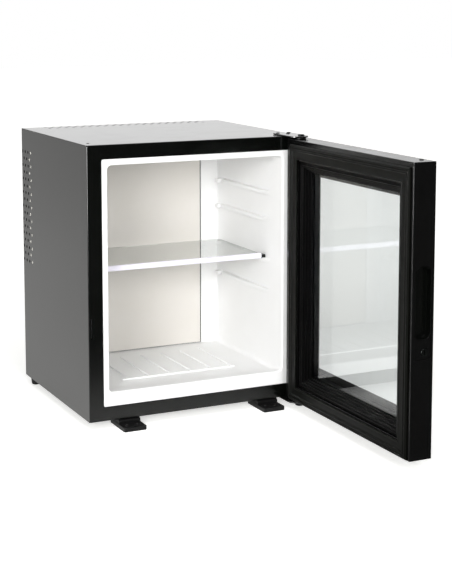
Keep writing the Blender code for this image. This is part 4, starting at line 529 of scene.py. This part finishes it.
# The inner liner: one white sheet of polystyrene, vacuum formed with its front flange, the sill,
# the shelf ledges with a stop behind each, and the ribs on its floor.
CAVITY_LOW, CAVITY_HIGH = (38, 45), (374, 444)
CAVITY_BACK, CAVITY_CORNER = 276.3, 8
FLANGE_LOW, FLANGE_HIGH = (8, 8), (404, 472)
FLANGE_FRONT, FLANGE_BACK = 2.3, 4.8
LINER_WALL, LINER_ROUND = 2.5, 3
SILL_TOP, SILL_FRONT, SILL_BACK = 49, 11, 29
BLOCK_WINDOW = 25.3
LEDGE_TOPS = (375, 325, 248.7, 192)
LEDGE_FRONT, LEDGE_BACK, LEDGE_REACH, LEDGE_TALL, LEDGE_SLANT = 47, 244, 8, 8, 22
STOP_FRONT, STOP_BACK, STOP_REACH = 250, 262, 12
RIB_CENTRES = [107 + 41.2 * count for count in range(6)]
RIB_HALF, RIB_FRONT, RIB_BACK, RIB_TALL = 1.75, 84, 230, 2.5
CROSS_RIB = ((93, 80, 0), (316, 88, 0))


def raise_cells(shape, boxes, step, axis, level):
    """Splits a flat wall along the boxes' sides and raises the cells inside them by a step."""
    def on_wall(face):
        return all(abs(vert.co[axis] - level) < 0.01 for vert in face.verts)
    across = [a for a in range(3) if a != axis]
    for place, a in [(value, a) for a in across for value in sorted({c[a] for box in boxes for c in box})]:
        faces = [face for face in shape.faces if on_wall(face)]
        geom = faces + list({edge for face in faces for edge in face.edges})
        geom += list({vert for face in faces for vert in face.verts})
        normal = Vector([float(b == a) for b in range(3)])
        bmesh.ops.bisect_plane(shape, geom=geom, plane_co=normal * place, plane_no=normal, dist=0.001)
    cells = [face for face in shape.faces if on_wall(face) and any(
        all(low[a] < face.calc_center_median()[a] < high[a] for a in across) for low, high in boxes)]
    raised = bmesh.ops.extrude_face_region(shape, geom=cells)["geom"]
    bmesh.ops.delete(shape, geom=cells, context="FACES")
    shift(shape, raised, step)


def make_liner():
    """The liner as a closed wall, from its flange into the cavity and back along its outer side."""
    low, high = CAVITY_LOW, CAVITY_HIGH
    left, right = low[0], high[0]
    mouth_low = (left, SILL_TOP)
    window = (*inset(FAN_CENTRE, FAN_CENTRE, -BLOCK_WINDOW), 0.3)
    shell = (*inset(low, high, -LINER_WALL), CAVITY_CORNER + 1)
    shell_back = CAVITY_BACK + LINER_WALL
    rims = [(FLANGE_LOW, FLANGE_HIGH, 2, FLANGE_BACK), (FLANGE_LOW, FLANGE_HIGH, 2, FLANGE_FRONT)]
    rims += [(*inset(mouth_low, high, -out), CAVITY_CORNER + out, FLANGE_FRONT + depth)
             for out, depth in quarter_round(LINER_ROUND)]
    rims += [(mouth_low, high, CAVITY_CORNER, SILL_FRONT), (low, high, CAVITY_CORNER, SILL_BACK),
             (low, high, CAVITY_CORNER, CAVITY_BACK), (*window, CAVITY_BACK), (*window, shell_back),
             (*shell, shell_back), (*shell, FLANGE_BACK)]
    liner = wall_ring(rims)
    bmesh.ops.recalc_face_normals(liner, faces=liner.faces)
    for wall, inward in ((left, 1), (right, -1)):
        for front, behind, reach in ((LEDGE_FRONT, LEDGE_BACK, LEDGE_REACH),
                                     (STOP_FRONT, STOP_BACK, STOP_REACH)):
            boxes = [((0, front, ledge - LEDGE_TALL), (0, behind, ledge)) for ledge in LEDGE_TOPS]
            raise_cells(liner, boxes, (inward * reach, 0, 0), 0, wall)
        for vert in liner.verts:
            tip = abs(vert.co.x - wall - inward * LEDGE_REACH) < 0.01
            if tip and abs(vert.co.y - LEDGE_FRONT) < 0.01:
                vert.co.y += LEDGE_SLANT
    ribs = [((centre - RIB_HALF, RIB_FRONT, 0), (centre + RIB_HALF, RIB_BACK, 0)) for centre in RIB_CENTRES]
    raise_cells(liner, ribs + [CROSS_RIB], (0, 0, RIB_TALL), 2, low[1])
    soften(liner, 1.8, 3, test=lambda c: 46 < c.y < 263 and c.z > 100)
    soften(liner, 0.9, 2, test=lambda c: 79 < c.y < 231 and 44 < c.z < 48)
    return liner


# Formed polystyrene keeps the mould's fine satin, which is drawn 3 mm across to show on the white.
polystyrene = grain(new_finish("white_formed_polystyrene", "#F2F2F1", 0.4), size=3, height=0.008,
                    smooth=0.38, rough=0.44, tints=("#F0F0EF", "#F4F4F4"))
set_piece("liner_moulding", make_liner(), polystyrene, "cabinet", ["inner_liner"])


# The cold plate that closes the liner's back: rolled aluminium in baked white lacquer. Black foam
# tape round its edges stands in for the shade in its seams, painting them as fine dark lines.
PLATE_LOW, PLATE_HIGH = (77, 274, 47), (335, 276, 442)
SEAM_SHADE_OUTER_LOW, SEAM_SHADE_OUTER_HIGH = (75.3, 46.2), (336.7, 442.8)
SEAM_SHADE_INNER_LOW, SEAM_SHADE_INNER_HIGH = (76.9, 46.9), (335.1, 442.1)
SEAM_SHADE_FRONT, SEAM_SHADE_BACK = 274.6, 276.2
# The lacquer lies on rolled sheet whose slight unevenness, every 34 mm or so, mottles the light.
white_lacquer = grain(new_finish("baked_white_lacquer", "#DCD8D2", 0.3), size=34, height=0.06,
                      smooth=0.28, rough=0.33, tints=("#DAD6CF", "#DEDAD5"), detail=1.0)
set_piece("cold_plate_sheet", bar(PLATE_LOW, PLATE_HIGH, 0.5, 3), white_lacquer, "cabinet",
          ["cold_plate"])
# A dark ring round the plate's edges: painted shade for its seams.
seam_shade_strip = wall_ring([(SEAM_SHADE_OUTER_LOW, SEAM_SHADE_OUTER_HIGH, 0.3, SEAM_SHADE_FRONT),
                  (SEAM_SHADE_INNER_LOW, SEAM_SHADE_INNER_HIGH, 0.3, SEAM_SHADE_FRONT),
                  (SEAM_SHADE_INNER_LOW, SEAM_SHADE_INNER_HIGH, 0.3, SEAM_SHADE_BACK),
                  (SEAM_SHADE_OUTER_LOW, SEAM_SHADE_OUTER_HIGH, 0.3, SEAM_SHADE_BACK)])
# The tape is a dull brown black: painted shade for the seams round the plate.
black_tape_for_seam_shade = grain(new_finish("black_tape_for_seam_shade", "#1B1917", 0.85), size=0.5, height=0.02,
                        smooth=0.8, rough=0.9)
set_piece("plate_seam_shade_strip", seam_shade_strip, black_tape_for_seam_shade, "cabinet")


# The cooling unit behind the liner: a thermoelectric module pressed between an aluminium block and
# an extruded heatsink, a 92 mm fan behind it and a box of electronics, all bedded in white foam.

# Aluminium as it leaves the mill has a pale, soft metal shine that varies from place to place.
mill_aluminium = grain(new_finish("mill_finish_aluminium", "#C9CBCC", 0.34, {"Metallic": 1.0}), size=0.8,
                       height=0.003, smooth=0.28, rough=0.42)
# Fired alumina is a warm white with a fine, dull grain.
alumina = grain(new_finish("alumina_ceramic", "#ECEAE2", 0.6), size=0.5, height=0.004, smooth=0.55,
                rough=0.68)
# Nylon from a spark-eroded mould is a low satin black, whose grain is drawn 2 mm across to show.
black_nylon = grain(new_finish("black_moulded_nylon", "#0D0D0D", 0.45, {"Specular IOR Level": 0.3}),
                    size=2, height=0.004, smooth=0.42, rough=0.5)
# Rubber sleeves are a soft charcoal with hardly any shine.
lead_rubber = grain(new_finish("black_lead_rubber", "#131312", 0.6), size=0.4, height=0.006,
                    smooth=0.52, rough=0.68)
for cad_node, finish in (("insulation_foam", white_foam), ("cold_block", mill_aluminium),
                         ("thermoelectric_module", alumina), ("heatsink", mill_aluminium),
                         ("fan_frame", black_nylon), ("fan_rotor", black_nylon),
                         ("control_box", black_nylon), ("fan_cable", lead_rubber),
                         ("module_cable", lead_rubber)):
    dress(cad_node, finish)


# The gland in the back: a nylon bush with a round nose that lines the hole for the supply lead.
# Its flange bears on the inner side of the sheet.
GLAND = [(6.2, 358), (6.9, 357.6), (7, 356.7), (10, 356.7), (10, 353.7), (3.75, 353.7), (3.75, 357.4),
         (4.3, 358)]
set_piece("lead_bush", turned(GLAND), black_nylon, "cabinet", ["cable_gland"],
          IN_CABINET @ Matrix.Translation((GLAND_CENTRE[0], 0, GLAND_CENTRE[1])) @ UPRIGHT)


# The feet: moulded black nylon. Two brackets under the front reach ahead with a drilled flange that
# can be screwed down, and two tapered studs stand under the back corners.
BRACKET_WIDTH, BRACKET_CORNER = 42, 3.5
BRACKET_FRONT, BRACKET_BACK = -30, 40
BRACKET_BOTTOM, BRACKET_TOP = -15, -8
RISER = [(-2, -11.5), (39, -11.5), (39, -0.3), (2, -0.3), (-2, -3)]
BRACKET_HOLE = [(0, -7.9), (4.1, -7.9), (2.3, -9.8), (2.3, -16), (0, -16)]
STUD = [(0, -0.3), (11, -0.3), (11, -2.6), (10.3, -3.2), (8.9, -13.8), (8, -15), (0, -15)]


def prism(points, start, end, place):
    """A flat outline given by its points, extruded from start to end along its plane's normal."""
    shape = bmesh.new()
    face = shape.faces.new([shape.verts.new((*point, start)) for point in points])
    shift(shape, bmesh.ops.extrude_face_region(shape, geom=[face])["geom"], (0, 0, end - start))
    bmesh.ops.transform(shape, matrix=place, verts=shape.verts)
    return shape


def round_slab(low, high, radius, start, end, place, steps=5):
    """A slab with a rounded rectangle's outline, from start to end along its plane's normal."""
    shape = bmesh.new()
    rims = [flat_rim(shape, low, high, radius, place @ Matrix.Translation((0, 0, at)), steps)
            for at in (start, end)]
    bmesh.ops.bridge_loops(shape, edges=rims[0] + rims[1])
    for rim in rims:
        bmesh.ops.edgeloop_fill(shape, edges=rim)
    return shape


def make_bracket(left, right):
    """A flange with a riser to the cabinet's base and two countersunk holes."""
    bracket = round_slab((left, BRACKET_FRONT), (right, BRACKET_BACK), BRACKET_CORNER, BRACKET_BOTTOM,
                         BRACKET_TOP, LEVEL)
    bracket = carved(bracket, prism(RISER, left + 1, right - 1, SIDEWAYS), "UNION")
    soften(bracket, 0.8, 2, test=lambda c: c.z > BRACKET_TOP - 0.1 or c.y < BRACKET_FRONT + 2)
    for across in (-10, 10):
        bracket = carved(bracket, turned(BRACKET_HOLE, ((left + right) / 2 + across, -12)))
    return bracket


for side, left in (("left", 52), ("right", 322)):
    set_piece("bracket_foot_" + side, make_bracket(left, left + BRACKET_WIDTH), black_nylon, "cabinet",
              ["front_bracket_" + side])
for side, centre in (("left", (14, 335)), ("right", (WIDTH - 14, 335))):
    set_piece("stud_foot_" + side, turned(STUD, centre), black_nylon, "cabinet",
              ["rear_foot_" + side])


# The hinges: round-nosed 2.5 mm steel plates, coated like the cabinet and screwed to its top and
# base, each with a pin. Small nylon plugs close the spare screw holes in the top.
PIN = (396, -25.5)
HINGE_LOW, HINGE_HIGH = (372, -43.4), (408, 38)
HINGE_CORNERS = (17.9, 17.9, 3, 3)
PIN_HOLE = 4.3
UPPER_PLATE, LOWER_PLATE = (480.3, 482.8), (-2.8, -0.3)
UPPER_PIN = [(0, 484.9), (3.6, 485.1), (5.2, 484.8), (6, 484.1), (6, 483.1), (4, 483.1), (4, 464), (3, 463),
             (0, 463)]
LOWER_PIN = [(0, 18), (3, 18), (4, 17), (4, -3.1), (8, -3.1), (8, -9.8), (6.8, -11), (0, -11)]
HINGE_SCREWS = [(379, 31), (401, 31), (390, 13)]
HOLE_PLUG = [(0, 480.5), (2, 480.5), (2.6, 480.2), (2.6, 480), (0, 480)]
SPARE_HOLES = [(15.2, 34.8), (402.2, 53.4)]


def cornered_slab(low, high, radii, start, end, steps=8):
    """A level slab whose corners have their own radii, from the low one anticlockwise."""
    shape = bmesh.new()
    corners = [Vector(low), Vector((high[0], low[1])), Vector(high), Vector((low[0], high[1]))]
    middle = Matrix.Translation(((low[0] + high[0]) / 2, (low[1] + high[1]) / 2, start))
    size = Matrix.Diagonal((high[0] - low[0], high[1] - low[1], 1, 1))
    bmesh.ops.create_grid(shape, x_segments=1, y_segments=1, size=0.5, matrix=middle @ size)
    for corner, radius in zip(corners, radii):
        nearest = min(shape.verts, key=lambda vert: (vert.co.xy - corner).length)
        bmesh.ops.bevel(shape, geom=[nearest], offset=radius, segments=steps, profile=0.5,
                        affect="VERTICES", material=-1)
    raised = bmesh.ops.extrude_face_region(shape, geom=shape.faces[:])["geom"]
    shift(shape, raised, (0, 0, end - start))
    return shape


for name, (bottom, top) in (("upper_hinge_plate", UPPER_PLATE), ("lower_hinge_plate", LOWER_PLATE)):
    plate = cornered_slab(HINGE_LOW, HINGE_HIGH, HINGE_CORNERS, bottom, top)
    soften(plate, 0.5, 2)
    plate = carved(plate, rod(PIN, PIN_HOLE, bottom - 5, top + 5, LEVEL))
    set_piece(name + "_sheet", plate, powder_coat, "cabinet", [name])
set_piece("upper_pivot", turned(UPPER_PIN, PIN), black_zinc, "cabinet", ["upper_hinge_pin"])
set_piece("lower_pivot", turned(LOWER_PIN, PIN), black_zinc, "cabinet", ["lower_hinge_pin"])
on_plate = Matrix.Translation((0, 0, UPPER_PLATE[1]))
set_piece("hinge_screws", screws(HINGE_SCREWS, 3.6, 1.1, on_plate), black_zinc, "cabinet")
plugs = bmesh.new()
for centre in SPARE_HOLES:
    turned(HOLE_PLUG, centre, shape=plugs, steps=20)
set_piece("top_hole_plugs", plugs, black_nylon, "cabinet")
for cad_node in ("upper_hinge_bushing", "lower_hinge_bushing"):
    dress(cad_node, black_nylon)


# The door's frame: a deep black ABS moulding, rounded down its hinge side, with a lip round the
# outer pane. A slot beside the lock lets its cam swing out, and bushings seat at both hinge ends.
ON_DOOR = (IN_CABINET @ Matrix.Translation((*PIN, 0)) @ Matrix.Rotation(math.pi / 2, 4, "Z")
           @ Matrix.Translation((-PIN[0], -PIN[1], 0)))
DOOR_LOW, DOOR_HIGH = (0.5, 4), (411.5, 477)
DOOR_FRONT, DOOR_BACK = -46, -5
REVEAL_LOW, REVEAL_HIGH = (37.5, 32), (370, 441)
GRIP_LOW, GRIP_HIGH = (-41.5, 197), (-10.5, 314)
LOCK_AXIS = (-30.5, 177)
LOCK_RECESS_LOW, LOCK_RECESS_HIGH = (-41.5, 166), (-10.5, 209)
BORE = 7
CAM_FRONT, CAM_BACK = 4.4, 6.0
CAM_REACH, CAM_GAP = 39.8, 0.3
CAM_OPEN, CAM_SWING = 9.4, 108.8


def make_door_frame():
    """The frame with its stepped seats, its grip and lock recesses, its bores and the cam's slot."""
    surround = cornered_slab((DOOR_LOW[0], DOOR_FRONT), (DOOR_HIGH[0], DOOR_BACK), (1, 4, 4, 1),
                             DOOR_LOW[1], DOOR_HIGH[1], 6)
    soften(surround, 0.7, 3, test=lambda c: c.z < DOOR_LOW[1] + 0.1 or c.z > DOOR_HIGH[1] - 0.1)
    outer_seat = (*inset(DOOR_LOW, DOOR_HIGH, 2.5), -60, -41.7)
    inner_seat = (*inset(REVEAL_LOW, REVEAL_HIGH, 11.7), -43, -25.7)
    trim_seat = (*inset(REVEAL_LOW, REVEAL_HIGH, 10.7), -30, -9)
    for low, high, front, behind in (outer_seat, inner_seat, trim_seat, (REVEAL_LOW, REVEAL_HIGH, -13, 5)):
        surround = carved(surround, bar((low[0], front, low[1]), (high[0], behind, high[1])))
    surround = carved(surround, round_slab(*inset(GRIP_LOW, GRIP_HIGH, -0.3), 12.3, -10, 14.8, SIDEWAYS))
    surround = carved(surround, round_slab(LOCK_RECESS_LOW, LOCK_RECESS_HIGH, 4, -10, 2, SIDEWAYS))
    bores = rod(LOCK_AXIS, BORE, -5, 4.2, SIDEWAYS)
    rod(PIN, BORE, 460.7, 487, LEVEL, shape=bores)
    rod(PIN, BORE, -6, 20.3, LEVEL, shape=bores)
    surround = carved(surround, bores)
    across, up = LOCK_AXIS
    sweep = [(across - 6.5, up + 6.5)]
    for step in range(25):
        angle = math.radians(CAM_OPEN - CAM_SWING * step / 24)
        sweep.append((across + CAM_REACH * math.cos(angle), up + CAM_REACH * math.sin(angle)))
    return carved(surround, prism(sweep, CAM_FRONT - CAM_GAP, CAM_BACK + CAM_GAP, SIDEWAYS))


# The door's ABS comes from a finely blasted mould, which leaves it satin, calmer than the facia.
door_abs = grain(new_finish("satin_black_abs", "#070707", 0.22), size=9, height=0.001, smooth=0.2,
                 rough=0.24, tints=("#060606", "#090909"))
set_piece("door_surround", make_door_frame(), door_abs, "door", ["door_frame"], ON_DOOR)


# The finger grip and the lock in the door's free edge: a moulded black cup with a rolled rim, and a
# chromed barrel with a keyhole. Its steel cam turns into a pressed keeper behind the facia.
GRIP_WALL, GRIP_CORNER = 1.5, 12
BARREL = [(0, 12.1), (3, 12.1), (3, 4.1), (6.7, 4.1), (6.7, 1.6), (6.4, 1.15), (5.9, 1.0), (5.3, 1.0),
          (5.0, 1.25), (0, 1.25)]
KEYHOLE_HALF_WIDTH, KEYHOLE_HALF_HEIGHT, KEYHOLE_DEPTH = 0.75, 4, 3.4
TOP_PLUG = [(0, 478.3), (2.6, 478.2), (3.6, 477.8), (4, 477.3), (3, 477.3), (3, 473), (0, 473)]
cup = round_slab(GRIP_LOW, GRIP_HIGH, GRIP_CORNER, 0.5, 14.5, SIDEWAYS, 8)
hollow = round_slab(*inset(GRIP_LOW, GRIP_HIGH, GRIP_WALL), GRIP_CORNER - GRIP_WALL, -5, 13, SIDEWAYS, 8)
cup = carved(cup, hollow)
soften(cup, 0.6, 3)
set_piece("grip_moulding", cup, gloss_black, "door", ["grip_cup"], ON_DOOR)
# Dark chrome keeps a metal's sharp mirror, only darker.
dark_chrome = grain(new_finish("dark_chromed_zinc", "#5A5E5C", 0.18, {"Metallic": 1.0}), size=1.5,
                    height=0.002, smooth=0.16, rough=0.22)
keyhole = bar((0, LOCK_AXIS[0] - KEYHOLE_HALF_WIDTH, LOCK_AXIS[1] - KEYHOLE_HALF_HEIGHT),
              (KEYHOLE_DEPTH, LOCK_AXIS[0] + KEYHOLE_HALF_WIDTH, LOCK_AXIS[1] + KEYHOLE_HALF_HEIGHT))
set_piece("lock_cylinder", carved(turned(BARREL, LOCK_AXIS, SIDEWAYS), keyhole), dark_chrome, "lock",
          ["lock_barrel"], ON_DOOR)
# Bright zinc plate on pressed steel is a pale metal with a fine frosted grain.
bright_zinc = grain(new_finish("bright_zinc_plate", "#B9BBBC", 0.32, {"Metallic": 1.0}), size=0.9,
                    height=0.003, smooth=0.28, rough=0.4)
dress("lock_cam", bright_zinc)
dress("lock_keeper", bright_zinc)
set_piece("top_plug", turned(TOP_PLUG, (25.1, -34.4)), black_nylon, "door",
          ["door_top_plug"], ON_DOOR)


# The door's seal: a magnetic gasket extruded in black soft PVC, mitred and welded at its corners,
# with ridges that meet the facia and a flat lipped band pressed into the frame inside them.
GASKET_LOW, GASKET_HIGH = (7.5, 5), (395.5, 468.5)
GASKET_SECTION = [(0, -4.7), (0, -2.8), (2.2, -0.5), (3.6, -0.5), (4.6, -1.8), (7.4, -1.8),
                  (8.4, -0.7), (10.2, -0.7), (11.2, -2), (12.4, -2.6), (22.4, -2.6), (23.2, -1.9),
                  (24.5, -1.9), (25, -2.6), (25, -4.7)]


def mitred_ring(low, high, section):
    """A closed ring swept round an upright rectangle from a section of (inset, depth) points."""
    return wall_ring([(*inset(low, high, by), 0.3, depth) for by, depth in section])


gasket = mitred_ring(GASKET_LOW, GASKET_HIGH, GASKET_SECTION)
soften(gasket, 0.25, 2, angle=25)
# Plasticised PVC is a soft, smooth grey black whose shine spreads wide over its ridges.
soft_pvc = grain(new_finish("black_soft_pvc", "#131411", 0.5, {"Specular IOR Level": 0.12}), size=9,
                 height=0.001, smooth=0.38, rough=0.44, tints=("#070806", "#0A0B08"))
set_piece("door_seal", gasket, soft_pvc, "door", ["door_gasket"], ON_DOOR)


# The trim that dresses the step down to the inner pane: a black extrusion with one raised bead and
# three steps, mitred at its corners and clipped into the reveal.
TRIM_SECTION = [(0.3, -12.7), (0.3, -9.7), (4, -9.7), (5, -8.2), (6.8, -8.2), (7.8, -10.4), (10.5, -10.4),
                (11.3, -14), (13.8, -14), (14.6, -18), (17, -18), (17.8, -22), (20, -22), (20.3, -25.7),
                (11, -25.7), (11, -12.7)]
trim = mitred_ring(REVEAL_LOW, REVEAL_HIGH, TRIM_SECTION)
soften(trim, 0.4, 2, angle=25)
# Hard PVC leaves the die smooth and black, so that its steps show only by their faint sheen.
extruded_pvc = grain(new_finish("black_extruded_pvc", "#060606", 0.35, {"Specular IOR Level": 0.1}),
                     size=10, height=0.001, smooth=0.3, rough=0.34, tints=("#050505", "#070707"))
set_piece("reveal_trim", trim, extruded_pvc, "door", ["glass_trim"], ON_DOOR)


# The door's glazing: two 4 mm tempered panes held apart by a black spacer. A border of black
# enamel is fired on the outer pane's inner face and hides the frame behind it.
PANE = 4
INNER_PANE_FRONT = -30
WINDOW_LOW, WINDOW_HIGH = (72, 68), (350.5, 412)
ENAMEL_FRONT, ENAMEL_BACK = -41.95, -41.8
TINT_SIZE = 125


def clear_glass(name, tint):
    """Clear glass whose faint tint drifts a little from place to place."""
    glass = new_finish(name, tint, 0.0, {"Transmission Weight": 1.0, "IOR": 1.5})
    places = node(glass, "TexCoord")
    drift = node(glass, "TexNoise", {"Vector": places.outputs["Object"], "Scale": 1 / (TINT_SIZE * MM),
                                     "Detail": 1.0})
    pale = linear(tint)
    deep = (*[channel * 0.985 for channel in pale[:3]], 1.0)
    shade = node(glass, "Mix", {"Factor": drift.outputs["Fac"], COLOUR_A: deep, COLOUR_B: pale},
                 data_type="RGBA")
    shader = glass.node_tree.nodes["Principled BSDF"]
    glass.node_tree.links.new(shade.outputs[COLOUR_OUT], shader.inputs["Base Color"])
    return glass


outer_low, outer_high = inset(DOOR_LOW, DOOR_HIGH, 2.8)
inner_low, inner_high = inset(REVEAL_LOW, REVEAL_HIGH, 12)
# Tempered glass is clear and polished, with a breath of grey.
tempered = clear_glass("tempered_glass", "#F0F2F2")
for name, low, high, front, cad_node in (
        ("outer_pane", outer_low, outer_high, DOOR_FRONT, "outer_glass"),
        ("inner_pane", inner_low, inner_high, INNER_PANE_FRONT, "inner_glass")):
    pane = bar((low[0], front, low[1]), (high[0], front + PANE, high[1]), 0.5, 2)
    set_piece(name, pane, tempered, "door", [cad_node], ON_DOOR, crease=15)
# Black anodising turns the metal to a fine matt charcoal.
black_anodised = grain(new_finish("black_anodised_aluminium", "#151515", 0.4, {"Metallic": 0.6}),
                       size=1.0, height=0.002, smooth=0.36, rough=0.46)
dress("glass_spacer", black_anodised)
# Fired enamel is glass itself, so it is a dense black with a soft even gloss.
enamel = grain(new_finish("fired_black_enamel", "#060606", 0.25), size=6, height=0.0006, smooth=0.24,
               rough=0.27, tints=("#050505", "#070707"))
border = wall_ring([(outer_low, outer_high, 0.3, ENAMEL_FRONT), (outer_low, outer_high, 0.3, ENAMEL_BACK),
                    (WINDOW_LOW, WINDOW_HIGH, 0.3, ENAMEL_BACK),
                    (WINDOW_LOW, WINDOW_HIGH, 0.3, ENAMEL_FRONT)])
set_piece("enamel_border", border, enamel, "door", (), ON_DOOR)


# The shelf: a 4 mm glass plate with ground edges, a white trim pressed on its front edge and a
# black end clip at its right, resting on the third pair of ledges.
SHELF_LOW, SHELF_HIGH = (39.3, 72.5, 249), (372.7, 264, 253)
SHELF_TRIM = [(68, 249), (69.5, 247.5), (80, 247.5), (80, 248.7), (72.2, 248.7), (72.2, 253.3),
              (76, 253.3), (76, 255.5), (74.5, 257), (69.5, 257), (68, 255.5)]
SHELF_CLIP = [(66.5, 247.5), (82, 247.5), (82, 248.7), (72.2, 248.7), (72.2, 253.3), (82, 253.3),
              (81, 254.3), (67.5, 254.3), (66.5, 253)]
TRIM_END, CLIP_START = 365.4, 365.7
# Trim and clip are notched up to here at their ends, where they pass over the ledges.
LEDGE_CLEAR = 248.9
# Float glass is clear, with a breath of green from its iron.
float_glass = clear_glass("float_glass", "#EFF2F0")
set_piece("shelf_plate", bar(SHELF_LOW, SHELF_HIGH, 0.6, 2), float_glass, "shelf",
          ["shelf_glass"], crease=15)
front_trim = prism(SHELF_TRIM, SHELF_LOW[0], TRIM_END, SIDEWAYS)
front_trim = carved(front_trim, bar((38, 60, 240), (47, 90, LEDGE_CLEAR)))
soften(front_trim, 0.4, 2, angle=30)
# White hard PVC has a cool blue cast and a low sheen from the die.
white_pvc = grain(new_finish("white_extruded_pvc", "#EEEBF7", 0.35), size=3, height=0.004, smooth=0.3,
                  rough=0.4)
set_piece("shelf_trim", front_trim, white_pvc, "shelf", ["shelf_front_trim"])
clip = prism(SHELF_CLIP, CLIP_START, SHELF_HIGH[0], SIDEWAYS)
clip = carved(clip, bar((366, 60, 240), (375, 90, LEDGE_CLEAR)))
soften(clip, 0.5, 2, angle=30)
set_piece("shelf_clip", clip, black_nylon, "shelf", ["shelf_end_clip"])
